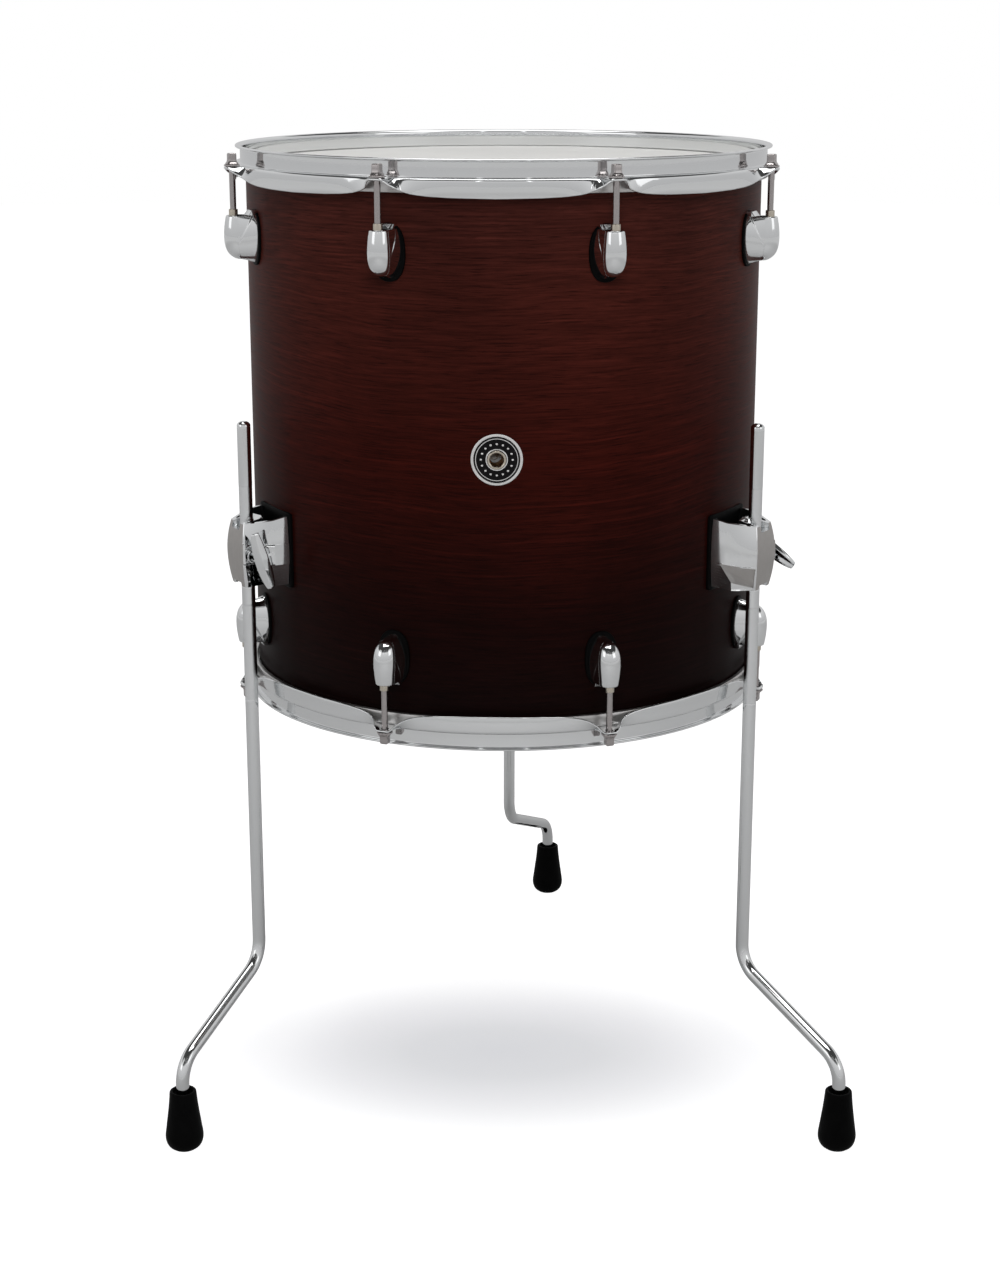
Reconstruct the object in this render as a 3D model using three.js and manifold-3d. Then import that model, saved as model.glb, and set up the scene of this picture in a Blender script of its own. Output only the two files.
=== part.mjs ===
// Floor tom: a wooden shell with two drumheads, two flanged steel hoops, sixteen bullet lugs with
// tension rods, a vent badge, and three bent legs held in cast brackets by eyebolts and wing nuts.
// Millimetres, +Z up. Azimuths are in degrees round the drum from the front (-Y) towards +X.

import * as THREE from 'three';
import { mergeVertices } from 'three/addons/utils/BufferGeometryUtils.js';
import Module from 'manifold-3d';

const wasm = await Module();
wasm.setup();

// Running and seating clearances
const seatGap = 0.3;
const cutOverrun = 5;
const mergeDistance = 0.0005;

// Shell
const shellDiameter = 406.4;
const shellDepth = 406.4;
const shellWall = 7.5;
const shellGroundClearance = 342.7;
const edgeRoundover = 2;
const edgeBevelDepth = 5.5;

// Drumheads
const filmThickness = 0.6;
const filmSkirtDepth = 8;
const fleshHoopWidth = 4.2;
const fleshHoopHeight = 9;
const fleshHoopDrop = 0.6;

// Flanged hoops
const hoopSheet = 1.8;
const hoopPlayOverFilm = 1.3;
const hoopWallHeight = 15.1;
const hoopLipReach = 3.8;
const hoopLipHeight = 2.2;
const hoopPlayOverFleshHoop = 3.1;

// Tension rods
const rodInset = 8.9;
const rodEarMargin = 5.4;
const rodDiameter = 4.8;
const rodEarHoleDiameter = 6.6;
const rodWasherDiameter = 12;
const rodWasherThickness = 1.2;
const rodFlangeDiameter = 9.6;
const rodHeadWidth = 6.2;
const rodHeadTaperHeight = 2.4;
const rodHeadHeight = 8.6;
const rodInsertion = 17;

// Lugs
const lugCount = 8;
const lugDropFromEdge = 36.4;
const lugHeight = 31.6;
const lugBarrelWidth = 16;
const lugFrontCover = 7.6;
const lugBaseWidth = 19;
const lugGasketWidth = 26;
const lugGasketHeight = 42;
const lugGasketThickness = 1.8;
const collarDiameter = 6.9;
const collarHeight = 6;

// Vent badge and grommet
const badgeRise = 3;
const badgeDiameter = 38;
const badgeThickness = 1;
const grommetBore = 10.4;
const grommetTubeDiameter = 12.4;
const grommetFlangeDiameter = 14.2;
const grommetFlangeThickness = 1.3;
const grommetRimThickness = 0.65;
const grommetInnerOffset = 0.9;

// Leg brackets
const bracketCount = 3;
const bracketHeightOnShell = 116.5;
const bracketHeight = 54.8;
const bracketBaseWidth = 47;
const bracketShoulderWidth = 36;
const bracketFaceWidth = 20;
const bracketBaseDepth = 1.2;
const bracketShoulderDepth = 6.5;
const bracketFaceWall = 2.15;
const bracketFaceBulge = 3.8;
const bracketWall = 2.3;
const bracketGasketThickness = 2.2;
const bracketGasketMargin = 2.6;
const bracketGasketCorner = 4;
const bandHeight = 16.6;
const bandRise = 0.8;
const notchDepth = 1.6;
const notchTopDrop = 5;
const notchHeight = 17;
const notchSlant = 7;
const bracketFlare = 1.6;
const channelSlack = 2.65;

// Leg clamp: eyebolt and wing nut
const clampDrop = 2;
const eyeWall = 2;
const eyeHeight = 9;
const eyeEdge = 0.5;
const eyeTravel = 1.5;
const eyeShankDiameter = 5.8;
const eyeShankLength = 15;
const nutRecessDiameter = 18;
const nutRecessFloor = 10.3;
const nutCollarDiameter = 13;
const nutCollarHeight = 3.4;
const nutEdge = 0.85;
const nutNeckDiameter = 8;
const nutNeckLength = 10.5;
const wingLength = 46;
const wingChord = 10;
const wingThickness = 6.4;
const wingSweep = 3;

// Legs
const legDiameter = 10.5;
const legStandOff = 21.3;
const legTopHeight = 560.6;
const legUpperBendHeight = 117;
const legLowerBendHeight = 71;
const legReach = 115;
const legBendRadius = 25;
const legTipChamfer = 2.6;

// Rubber feet
const footHeight = 49;
const footTopDiameter = 21;
const footBellyDiameter = 31;
const footSoleDiameter = 18;
const footSocketDepth = 32;
const footRecessDiameter = 15.4;
const footRecessDepth = 3;

// Turns of the legs in their brackets and of the wings on their bolts, in degrees
const bracketAzimuths = [-60, 60, 180];
const legAzimuths = [-25.2, 38.1, 161.4];
const wingAngles = [16, -58, 30];

// Facet counts
const drumFacets = 48;
const rodFacets = 8;
const nutFacets = 8;
const recessFacets = 16;
const legFacets = 12;
const footFacets = 12;
const badgeFacets = 24;
const grommetFacets = 12;
const bulgeFacets = 6;
const bendFacets = 4;
const ovalFacets = 12;

// From the flat of a hoop's ear to the middle of its skirt: turn as a share of half the lug
// spacing, tilt of the flange strip as a share of a right angle, and the strip's width as a share
const earTurnShares = [0.075, 0.15, 0.29, 0.56, 1];
const earTiltShares = [0, 0.6, 0.93, 1, 1];
const earStripShares = [1, 0.58, 0.73, 0.83, 0.88];

// Lug barrel from its open end to its closed tip: height, half-width, front and base as shares
const lugHeightShares = [0, 0.53, 0.8, 0.93, 1];
const lugWidthShares = [0.85, 1, 0.86, 0.62, 0.3];
const lugFrontShares = [0.93, 1, 0.93, 0.78, 0.56];
const lugBaseShares = [0.84, 1, 0.8, 0.6, 0.36];
const lugNeckReachShares = [0.4, 0.72, 0.84, 0.8, 0.7];
const lugNeckWidthShares = [0.7, 0.92, 1, 1, 1];
const lugFrontAngles = [-90, -48, 0, 48, 90];
const ovalPower = 0.85;

// Wing blade from end to end: place, chord and thickness as shares
const wingPlaceShares = [-1, -0.62, 0, 0.62, 1];
const wingChordShares = [0.62, 0.92, 1, 0.92, 0.62];
const wingThicknessShares = [0.36, 0.6, 1, 0.6, 0.36];
const wingSweepShares = [1, 0.36, 0, 0.36, 1];
const wingFlatShare = 0.6;
const wingEdgeShare = 0.4;
const wingCrownShare = 0.85;
const wingBackShare = 0.33;
const neckOverlapShare = 0.25;

// The rounded corner at a leg's tip: how far down and how far in its middle point lies
const tipHeightShare = 0.5;
const tipRadiusShare = 0.33;

// Foot outline: heights as shares of the foot's, and how far the sole's edge is on its way to the
// belly and the waist on its way from the top to the belly, as shares
const footSoleEdgeHeightShare = 0.06;
const footBellyHeightShare = 0.24;
const footWaistHeightShare = 0.62;
const footSoleEdgeShare = 0.5;
const footWaistShare = 0.3;

// Sizes that follow from the ones above
const shellRadius = shellDiameter / 2;
const shellHalf = shellDepth / 2;
const drumMiddleHeight = shellGroundClearance + shellHalf;
const filmInnerRadius = shellRadius + seatGap;
const filmOuterRadius = filmInnerRadius + filmThickness;
const fleshInnerRadius = filmOuterRadius + seatGap;
const fleshOuterRadius = fleshInnerRadius + fleshHoopWidth;
const fleshTop = shellHalf - fleshHoopDrop;
const hoopWallInner = filmOuterRadius + hoopPlayOverFilm;
const hoopWallRadius = hoopWallInner + hoopSheet;
const hoopBendRadius = fleshOuterRadius + hoopPlayOverFleshHoop;
const hoopStripWidth = rodInset + rodEarMargin;
const rodCircleRadius = hoopBendRadius + rodInset;
const flangeUnderside = fleshTop + seatGap;
const flangeTop = flangeUnderside + hoopSheet;
const lugTop = shellHalf - lugDropFromEdge;
const lugSpacing = 360 / lugCount;
const legHalf = legDiameter / 2;
const legSocketRadius = legHalf + seatGap;
const bracketBack = shellRadius + seatGap + bracketGasketThickness + seatGap;
const legRadius = bracketBack + legStandOff;
const bracketFaceDepth = legStandOff + legSocketRadius + bracketFaceWall;
const bracketMiddle = bracketHeightOnShell - shellHalf;
const radians = THREE.MathUtils.degToRad;

// Merges equal corners, drops empty triangles and turns the faces outwards.
function closed(geometry) {
  const bare = geometry.index ? geometry.toNonIndexed() : geometry.clone();
  bare.deleteAttribute('normal');
  bare.deleteAttribute('uv');
  const merged = mergeVertices(bare, mergeDistance);
  const position = merged.attributes.position;
  const source = merged.index.array;
  const kept = [];
  let volume = 0;
  const corners = [new THREE.Vector3(), new THREE.Vector3(), new THREE.Vector3()];
  for (let i = 0; i < source.length; i += 3) {
    const [a, b, c] = [source[i], source[i + 1], source[i + 2]];
    if (a === b || b === c || c === a) continue;
    corners[0].fromBufferAttribute(position, a);
    corners[1].fromBufferAttribute(position, b);
    corners[2].fromBufferAttribute(position, c);
    volume += corners[0].dot(corners[1].clone().cross(corners[2]));
    kept.push(a, b, c);
  }
  if (volume < 0) {
    for (let i = 0; i < kept.length; i += 3) {
      [kept[i + 1], kept[i + 2]] = [kept[i + 2], kept[i + 1]];
    }
  }
  merged.setIndex(kept);
  return merged;
}

// A closed geometry as a solid that can be joined and cut.
function solid(geometry) {
  const shape = closed(geometry);
  return new wasm.Manifold(new wasm.Mesh({
    numProp: 3,
    vertProperties: new Float32Array(shape.attributes.position.array),
    triVerts: new Uint32Array(shape.index.array),
  }));
}

// A cut or joined solid as a geometry again.
function geometryOf(body) {
  const mesh = body.getMesh();
  const geometry = new THREE.BufferGeometry();
  geometry.setAttribute('position', new THREE.BufferAttribute(new Float32Array(mesh.vertProperties), 3));
  geometry.setIndex(new THREE.BufferAttribute(new Uint32Array(mesh.triVerts), 1));
  return geometry;
}

// A skin over rings of equal point counts, capped at both ends or joined end to end.
function loft(rings, joined = false) {
  const count = rings[0].length;
  const positions = rings.flat().flatMap((point) => [point.x, point.y, point.z]);
  const indices = [];
  const spans = joined ? rings.length : rings.length - 1;
  for (let r = 0; r < spans; r += 1) {
    const near = r * count;
    const far = ((r + 1) % rings.length) * count;
    for (let p = 0; p < count; p += 1) {
      const next = (p + 1) % count;
      indices.push(near + p, near + next, far + next, near + p, far + next, far + p);
    }
  }
  const last = (rings.length - 1) * count;
  for (let p = 1; !joined && p < count - 1; p += 1) {
    indices.push(0, p + 1, p, last, last + p, last + p + 1);
  }
  const geometry = new THREE.BufferGeometry();
  geometry.setAttribute('position', new THREE.Float32BufferAttribute(positions, 3));
  geometry.setIndex(indices);
  return closed(geometry);
}

// A profile of [radius, height] pairs turned about Z; it starts and ends on the axis, or closes.
function turned(profile, facets) {
  const points = profile.map(([radius, height]) => new THREE.Vector2(radius, height));
  return closed(new THREE.LatheGeometry(points, facets).rotateX(Math.PI / 2));
}

function cylinder(radius, low, high, facets) {
  return turned([[0, low], [radius, low], [radius, high], [0, high]], facets);
}

// A cylinder along +Y from one place to another.
function crossCylinder(radius, near, far, facets) {
  return cylinder(radius, near, far, facets).rotateX(-Math.PI / 2);
}

function outlineShape(points) {
  return new THREE.Shape(points.map(([x, y]) => new THREE.Vector2(x, y)));
}

// An outline in XY raised along Z.
function raised(points, low, high) {
  const prism = new THREE.ExtrudeGeometry(outlineShape(points), { depth: high - low, bevelEnabled: false });
  return closed(prism.translate(0, 0, low));
}

// An outline in XZ carried along Y, both ways from the middle.
function acrossWidth(points, near, far) {
  const prism = new THREE.ExtrudeGeometry(outlineShape(points), { depth: far - near, bevelEnabled: false });
  return closed(prism.rotateX(Math.PI / 2).translate(0, far, 0));
}

// An outline in YZ carried outwards along X.
function outwards(points, near, far) {
  const prism = new THREE.ExtrudeGeometry(outlineShape(points), { depth: far - near, bevelEnabled: false });
  const basis = new THREE.Matrix4().makeBasis(
    new THREE.Vector3(0, 1, 0), new THREE.Vector3(0, 0, 1), new THREE.Vector3(1, 0, 0));
  return closed(prism.applyMatrix4(basis).translate(near, 0, 0));
}

// The drum's body as a solid cylinder, for fitting what sits on it.
function drumBlank(radius) {
  return solid(cylinder(radius, -shellDepth, shellDepth, drumFacets));
}

function fittedToShell(body, clearance) {
  return body.subtract(drumBlank(shellRadius + clearance));
}

function material(color, roughness, metalness) {
  return new THREE.MeshStandardMaterial({ color, roughness, metalness });
}

function part(name, geometry, finish) {
  const mesh = new THREE.Mesh(geometry, finish);
  mesh.name = name;
  return mesh;
}

// A place round the drum, where X points outwards and Y along the drum's side.
function station(azimuth) {
  const group = new THREE.Group();
  group.rotation.z = radians(azimuth - 90);
  return group;
}

const finishes = {
  stainedWood: material(0x2e1410, 0.35, 0),
  chrome: material(0xd6d8da, 0.12, 1),
  rodSteel: material(0x9c968f, 0.3, 1),
  aluminium: material(0xb4b6b8, 0.4, 1),
  film: material(0xf2f1ec, 0.5, 0),
  rubber: material(0x0c0c0d, 0.6, 0),
  badge: material(0xb9bcc0, 0.25, 1),
  nickel: material(0xc7bca8, 0.3, 1),
};

// The shell: a straight tube whose two bearing edges have a bevel inside and a small round-over.
function shellGeometry() {
  const inner = shellRadius - shellWall;
  const crest = shellRadius - edgeRoundover;
  const tube = turned([
    [inner, edgeBevelDepth - shellHalf],
    [crest, -shellHalf],
    [shellRadius, edgeRoundover - shellHalf],
    [shellRadius, shellHalf - edgeRoundover],
    [crest, shellHalf],
    [inner, shellHalf - edgeBevelDepth],
    [inner, edgeBevelDepth - shellHalf],
  ], drumFacets);
  const ventRadius = grommetTubeDiameter / 2 + seatGap;
  const vent = crossCylinder(ventRadius, inner - shellWall, shellRadius + cutOverrun, grommetFacets)
    .rotateZ(Math.PI)
    .translate(0, 0, badgeRise);
  return geometryOf(solid(tube).subtract(solid(vent)));
}

// A drumhead's film lies on the bearing edge and turns down between shell and flesh hoop.
function filmGeometry() {
  const under = shellHalf + seatGap;
  const over = under + filmThickness;
  const foot = fleshTop - filmSkirtDepth;
  return turned([
    [0, under],
    [filmInnerRadius, under],
    [filmInnerRadius, foot],
    [filmOuterRadius, foot],
    [filmOuterRadius, over],
    [0, over],
  ], drumFacets);
}

function fleshHoopGeometry() {
  const foot = fleshTop - fleshHoopHeight;
  return turned([
    [fleshInnerRadius, foot],
    [fleshOuterRadius, foot],
    [fleshOuterRadius, fleshTop],
    [fleshInnerRadius, fleshTop],
    [fleshInnerRadius, foot],
  ], drumFacets);
}

// One section of the flanged hoop. The strip past the bend lies flat as an ear where the tilt is
// zero and hangs as a skirt where it is a right angle.
function hoopSection(azimuth, tilt, strip) {
  const rim = flangeUnderside + hoopWallHeight;
  const lip = hoopWallRadius + hoopLipReach;
  const lipFoot = rim - hoopLipHeight;
  const along = [Math.cos(tilt), -Math.sin(tilt)];
  const across = [Math.sin(tilt) * hoopSheet, Math.cos(tilt) * hoopSheet];
  const tip = [hoopBendRadius + along[0] * strip, flangeUnderside + along[1] * strip];
  const section = [
    [hoopWallInner, flangeUnderside],
    [hoopWallInner, rim],
    [lip, rim],
    [lip, lipFoot],
    [hoopWallRadius, lipFoot],
    [hoopWallRadius, flangeTop],
    [hoopBendRadius + Math.tan(tilt / 2) * hoopSheet, flangeTop],
    [tip[0] + across[0], tip[1] + across[1]],
    tip,
    [hoopBendRadius, flangeUnderside],
  ];
  const turn = radians(azimuth);
  return section.map(([radius, height]) =>
    new THREE.Vector3(radius * Math.sin(turn), -radius * Math.cos(turn), height));
}

function hoopGeometry() {
  const half = lugSpacing / 2;
  const rings = [];
  const addSection = (ear, side, step) => {
    const azimuth = half + ear * lugSpacing + side * earTurnShares[step] * half;
    const tilt = earTiltShares[step] * Math.PI / 2;
    rings.push(hoopSection(azimuth, tilt, earStripShares[step] * hoopStripWidth));
  };
  const last = earTurnShares.length - 1;
  for (let ear = 0; ear < lugCount; ear += 1) {
    for (let step = last; step >= 0; step -= 1) addSection(ear, -1, step);
    for (let step = 0; step < last; step += 1) addSection(ear, 1, step);
  }
  let hoop = solid(loft(rings, true));
  const [low, high] = [flangeUnderside - cutOverrun, flangeTop + cutOverrun];
  const hole = cylinder(rodEarHoleDiameter / 2, low, high, rodFacets);
  for (let ear = 0; ear < lugCount; ear += 1) {
    const turn = radians(half + ear * lugSpacing - 90);
    hoop = hoop.subtract(solid(hole.clone().translate(rodCircleRadius, 0, 0).rotateZ(turn)));
  }
  return geometryOf(hoop);
}

// A tension rod hangs from its washer on the ear; its square head lofts out of a round flange.
function rodGeometry() {
  const washerFoot = flangeTop + seatGap;
  const washerTop = washerFoot + rodWasherThickness;
  const headFoot = washerTop + rodHeadTaperHeight;
  const headTop = washerTop + rodHeadHeight;
  const tip = lugTop + collarHeight - rodInsertion;
  const ring = (radius, height, flatness = 1) => Array.from({ length: rodFacets }, (unused, i) => {
    const turn = (i / rodFacets) * Math.PI * 2;
    const reach = i % 2 ? radius : radius * flatness;
    return new THREE.Vector3(reach * Math.cos(turn), reach * Math.sin(turn), height);
  });
  const squareCorner = (rodHeadWidth / 2) * Math.SQRT2;
  return loft([
    ring(rodDiameter / 2, tip),
    ring(rodDiameter / 2, washerFoot),
    ring(rodWasherDiameter / 2, washerFoot),
    ring(rodWasherDiameter / 2, washerTop),
    ring(rodFlangeDiameter / 2, washerTop),
    ring(squareCorner, headFoot, Math.SQRT1_2),
    ring(squareCorner, headTop, Math.SQRT1_2),
  ]).translate(rodCircleRadius, 0, 0);
}

// One horizontal section of a lug: a barrel rounded about the rod, a neck drawn in behind it near
// the open end, and flanks that widen towards the base at the gasket.
function lugSection(i) {
  const height = lugTop - lugHeightShares[i] * lugHeight;
  const halfWidth = (lugBarrelWidth / 2) * lugWidthShares[i];
  const baseHalf = (lugBaseWidth / 2) * lugBaseShares[i];
  const neckHalf = halfWidth * lugNeckWidthShares[i];
  const projection = rodCircleRadius + lugFrontCover - shellRadius;
  const front = shellRadius + projection * lugFrontShares[i];
  const barrel = Math.min(rodCircleRadius, front - halfWidth);
  const neck = shellRadius + (barrel - shellRadius) * lugNeckReachShares[i];
  const arc = lugFrontAngles.map((degrees) => {
    const turn = radians(degrees);
    return [barrel + (front - barrel) * Math.cos(turn), halfWidth * Math.sin(turn)];
  });
  const root = shellRadius - shellWall;
  const outline = [[root, -baseHalf], [neck, -neckHalf], ...arc, [neck, neckHalf], [root, baseHalf]];
  return outline.map(([x, y]) => new THREE.Vector3(x, y, height));
}

// A lug with its oval gasket behind it and the collar that the rod screws into on top.
function lugGeometry() {
  const barrel = solid(loft(lugHeightShares.map((share, i) => lugSection(i))));
  const oval = Array.from({ length: ovalFacets }, (unused, i) => {
    const turn = (i / ovalFacets) * Math.PI * 2;
    const bend = (value) => Math.sign(value) * Math.abs(value) ** ovalPower;
    return [bend(Math.cos(turn)) * lugGasketWidth / 2, bend(Math.sin(turn)) * lugGasketHeight / 2];
  });
  const outer = shellRadius + seatGap + lugGasketThickness;
  const gasket = solid(outwards(oval, shellRadius - shellWall, outer)
    .translate(0, 0, lugTop - lugHeight / 2));
  const collarTop = lugTop + collarHeight;
  const collar = solid(cylinder(collarDiameter / 2, lugTop - cutOverrun, collarTop, rodFacets)
    .translate(rodCircleRadius, 0, 0));
  const boreFloor = collarTop - rodInsertion - seatGap;
  const bore = solid(cylinder(rodDiameter / 2 + seatGap, boreFloor, collarTop + cutOverrun, rodFacets)
    .translate(rodCircleRadius, 0, 0));
  const gasketAndBarrel = barrel.add(gasket).add(collar).subtract(bore);
  return geometryOf(fittedToShell(gasketAndBarrel, seatGap));
}

// The badge is a thin disc bent to the shell, with a hole for the vent grommet.
function badgeGeometry() {
  const outer = shellRadius + seatGap + badgeThickness;
  const disc = solid(cylinder(badgeDiameter / 2, shellRadius - shellWall, outer + cutOverrun, badgeFacets)
    .rotateY(Math.PI / 2));
  const hole = solid(cylinder(grommetTubeDiameter / 2 + seatGap, 0, outer + cutOverrun * 2, grommetFacets)
    .rotateY(Math.PI / 2));
  return geometryOf(fittedToShell(disc.intersect(drumBlank(outer)).subtract(hole), seatGap));
}

// The grommet is an eyelet: a flange on the badge, a tube through the wall, a rolled edge inside.
function grommetGeometry() {
  const bore = grommetBore / 2;
  const tube = grommetTubeDiameter / 2;
  const flange = grommetFlangeDiameter / 2;
  const face = shellRadius + seatGap + badgeThickness + seatGap;
  const inside = shellRadius - shellWall - grommetInnerOffset;
  return turned([
    [bore, inside - grommetFlangeThickness],
    [flange, inside - grommetFlangeThickness],
    [flange, inside],
    [tube, inside],
    [tube, face],
    [flange, face],
    [bore + (flange - bore) / 2, face + grommetFlangeThickness],
    [bore, face + grommetRimThickness],
    [bore, inside - grommetFlangeThickness],
  ], grommetFacets).rotateY(Math.PI / 2);
}

// Half-width of the bracket's tapered side at a distance from the drum's axis.
function bracketHalfWidth(x) {
  const shoulder = bracketBack + bracketShoulderDepth;
  const share = (x - shoulder) / (bracketFaceDepth - bracketShoulderDepth);
  return bracketShoulderWidth / 2 + (bracketFaceWidth - bracketShoulderWidth) / 2 * share;
}

// One side of the bracket seen from above, from the shell out past the face plate.
function bracketPlan(grow) {
  const face = bracketBack + bracketFaceDepth;
  const shoulder = bracketBack + bracketShoulderDepth;
  const crown = face + bracketFaceBulge + cutOverrun;
  return [
    [shellRadius, bracketBaseWidth / 2 + grow],
    [bracketBack + bracketBaseDepth, bracketBaseWidth / 2 + grow],
    [shoulder, bracketShoulderWidth / 2 + grow],
    [crown, bracketHalfWidth(crown) + grow],
  ];
}

// The bracket's casting: a plan that tapers outwards, crossed with a side view whose face bulges.
function bracketBlank() {
  const right = bracketPlan(0);
  const left = right.map(([x, y]) => [x, -y]).reverse();
  const plan = solid(raised([...left, ...right].reverse(), -bracketHeight, bracketHeight));
  const half = bracketHeight / 2;
  const face = bracketBack + bracketFaceDepth;
  const bulge = Array.from({ length: bulgeFacets + 1 }, (unused, i) => {
    const turn = (i / bulgeFacets) * 2 - 1;
    return [face + bracketFaceBulge * (1 - turn * turn), turn * half];
  });
  const profile = [[shellRadius, half], [shellRadius, -half - bracketFlare], ...bulge];
  return plan.intersect(solid(acrossWidth(profile, -bracketBaseWidth, bracketBaseWidth)));
}

// The raised band across the wing side of the casting.
function bracketBand() {
  const side = bracketPlan(bandRise);
  const face = bracketBack + bracketFaceDepth;
  const kept = side.slice(0, 3);
  const end = [face, bracketHalfWidth(face) + bandRise];
  const outline = [[shellRadius, 0], ...kept, end, [face, 0]].reverse();
  return solid(raised(outline, -clampDrop - bandHeight / 2, bandHeight / 2 - clampDrop));
}

// The notch low on the other side, cut parallel to the tapered wall.
function bracketNotch() {
  const face = bracketBack + bracketFaceDepth;
  const shoulder = bracketBack + bracketShoulderDepth;
  const top = -notchTopDrop;
  const foot = top - notchHeight;
  const reach = face + bracketFaceBulge + cutOverrun;
  const outline = [[shoulder, top], [reach, top], [reach, foot], [shoulder + notchSlant, foot]];
  const narrowing = (bracketShoulderWidth - bracketFaceWidth) / 2;
  const taper = Math.atan2(narrowing, bracketFaceDepth - bracketShoulderDepth);
  const blade = acrossWidth(outline, -cutOverrun * 2, 0)
    .translate(-shoulder, notchDepth, 0)
    .rotateZ(taper)
    .translate(shoulder, -bracketShoulderWidth / 2, 0);
  return solid(blade);
}

// The leg's channel has a vee on the wing side, against which the eyebolt pulls the leg.
function legChannel() {
  const inner = legRadius - legHalf - channelSlack;
  const outer = legRadius + legSocketRadius;
  const apex = legSocketRadius * Math.SQRT2;
  const spread = outer - legRadius;
  const far = bracketHalfWidth(outer) - bracketWall;
  const outline = [
    [inner, -far],
    [outer, -far],
    [outer, apex - spread],
    [legRadius, apex],
    [inner, apex - (legRadius - inner)],
  ];
  return solid(raised(outline, -bracketHeight, bracketHeight));
}

// The pocket in which the eye sits and travels when the wing nut is loosened.
function eyePocket() {
  const radius = legSocketRadius + eyeWall + seatGap;
  const half = eyeHeight / 2 + seatGap;
  const places = [0, -eyeTravel / 2, -eyeTravel];
  const cuts = places.map((y) => solid(cylinder(radius, -half, half, legFacets)
    .translate(legRadius, y, -clampDrop)));
  return cuts.reduce((all, cut) => all.add(cut));
}

function bracketGeometry() {
  const shankRadius = eyeShankDiameter / 2 + seatGap;
  const reach = bracketBaseWidth;
  const shankBore = solid(crossCylinder(shankRadius, 0, reach, legFacets)
    .translate(legRadius, 0, -clampDrop));
  const recess = solid(crossCylinder(nutRecessDiameter / 2, nutRecessFloor, reach, recessFacets)
    .translate(legRadius, 0, -clampDrop));
  const casting = bracketBlank()
    .add(bracketBand())
    .subtract(bracketNotch())
    .subtract(legChannel())
    .subtract(eyePocket())
    .subtract(shankBore)
    .subtract(recess);
  return geometryOf(fittedToShell(casting, bracketBack - shellRadius));
}

function bracketGasketGeometry() {
  const halfWidth = bracketBaseWidth / 2 + bracketGasketMargin;
  const top = bracketHeight / 2 + bracketGasketMargin;
  const foot = -top - bracketFlare;
  const corner = bracketGasketCorner;
  const right = [
    [halfWidth - corner, foot],
    [halfWidth, foot + corner],
    [halfWidth, top - corner],
    [halfWidth - corner, top],
  ];
  const left = right.map(([y, z]) => [-y, z]).reverse();
  const outline = [...right, ...left];
  const outer = shellRadius + seatGap + bracketGasketThickness;
  const slab = solid(outwards(outline, shellRadius - shellWall, outer + cutOverrun));
  return geometryOf(fittedToShell(slab.intersect(drumBlank(outer)), seatGap));
}

// The eyebolt: an eye round the leg and a shank that runs out through the bracket's side.
function eyeboltGeometry() {
  const outer = legSocketRadius + eyeWall;
  const half = eyeHeight / 2;
  const eye = turned([
    [legSocketRadius, -half],
    [outer - eyeEdge, -half],
    [outer, eyeEdge - half],
    [outer, half - eyeEdge],
    [outer - eyeEdge, half],
    [legSocketRadius, half],
    [legSocketRadius, -half],
  ], legFacets);
  const root = legSocketRadius + eyeWall / 2;
  const shank = crossCylinder(eyeShankDiameter / 2, root, outer + eyeShankLength, legFacets);
  return geometryOf(solid(eye).add(solid(shank))).translate(legRadius, 0, 0);
}

// The wing nut: a collar in the bracket's recess, a neck and a long lens-shaped blade.
function wingNutGeometry() {
  const collarFoot = nutRecessFloor + seatGap;
  const collarTop = collarFoot + nutCollarHeight;
  const neckTop = collarTop + nutNeckLength;
  const neckEnd = neckTop + wingThickness * neckOverlapShare;
  const body = solid(turned([
    [0, collarFoot],
    [nutCollarDiameter / 2, collarFoot],
    [nutCollarDiameter / 2, collarTop - nutEdge],
    [nutNeckDiameter / 2 + nutEdge, collarTop],
    [nutNeckDiameter / 2, collarTop + nutEdge],
    [nutNeckDiameter / 2, neckEnd],
    [0, neckEnd],
  ], nutFacets).rotateX(-Math.PI / 2));
  const rings = wingPlaceShares.map((place, i) => {
    const chord = (wingChord / 2) * wingChordShares[i];
    const thick = wingThickness * wingThicknessShares[i];
    const back = neckTop + wingSweep * wingSweepShares[i] + (wingThickness - thick) * wingBackShare;
    const flat = chord * wingFlatShare;
    const edge = back + thick * wingEdgeShare;
    const crown = back + thick * wingCrownShare;
    const lens = [
      [-chord, edge],
      [-flat, back],
      [flat, back],
      [chord, edge],
      [flat, crown],
      [0, back + thick],
      [-flat, crown],
    ];
    return lens.map(([x, y]) => new THREE.Vector3(x, y, place * wingLength / 2));
  });
  const shankEnd = legSocketRadius + eyeWall + eyeShankLength;
  const bore = solid(crossCylinder(eyeShankDiameter / 2 + seatGap, 0, shankEnd + seatGap, legFacets));
  return geometryOf(body.add(solid(loft(rings))).subtract(bore));
}

// A bend of the leg's centre line between two straight stretches, as points with their slopes.
function bendPoints(corner, fromSlope, toSlope) {
  const setback = legBendRadius * Math.tan(Math.abs(toSlope - fromSlope) / 2);
  const points = [];
  let place = [corner[0] - Math.sin(fromSlope) * setback, corner[1] + Math.cos(fromSlope) * setback];
  const step = (toSlope - fromSlope) / bendFacets;
  const chord = 2 * legBendRadius * Math.sin(Math.abs(step) / 2);
  for (let i = 0; i <= bendFacets; i += 1) {
    const slope = fromSlope + step * i;
    points.push([...place, slope]);
    const middle = slope + step / 2;
    place = [place[0] + Math.sin(middle) * chord, place[1] - Math.cos(middle) * chord];
  }
  return points;
}

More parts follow.
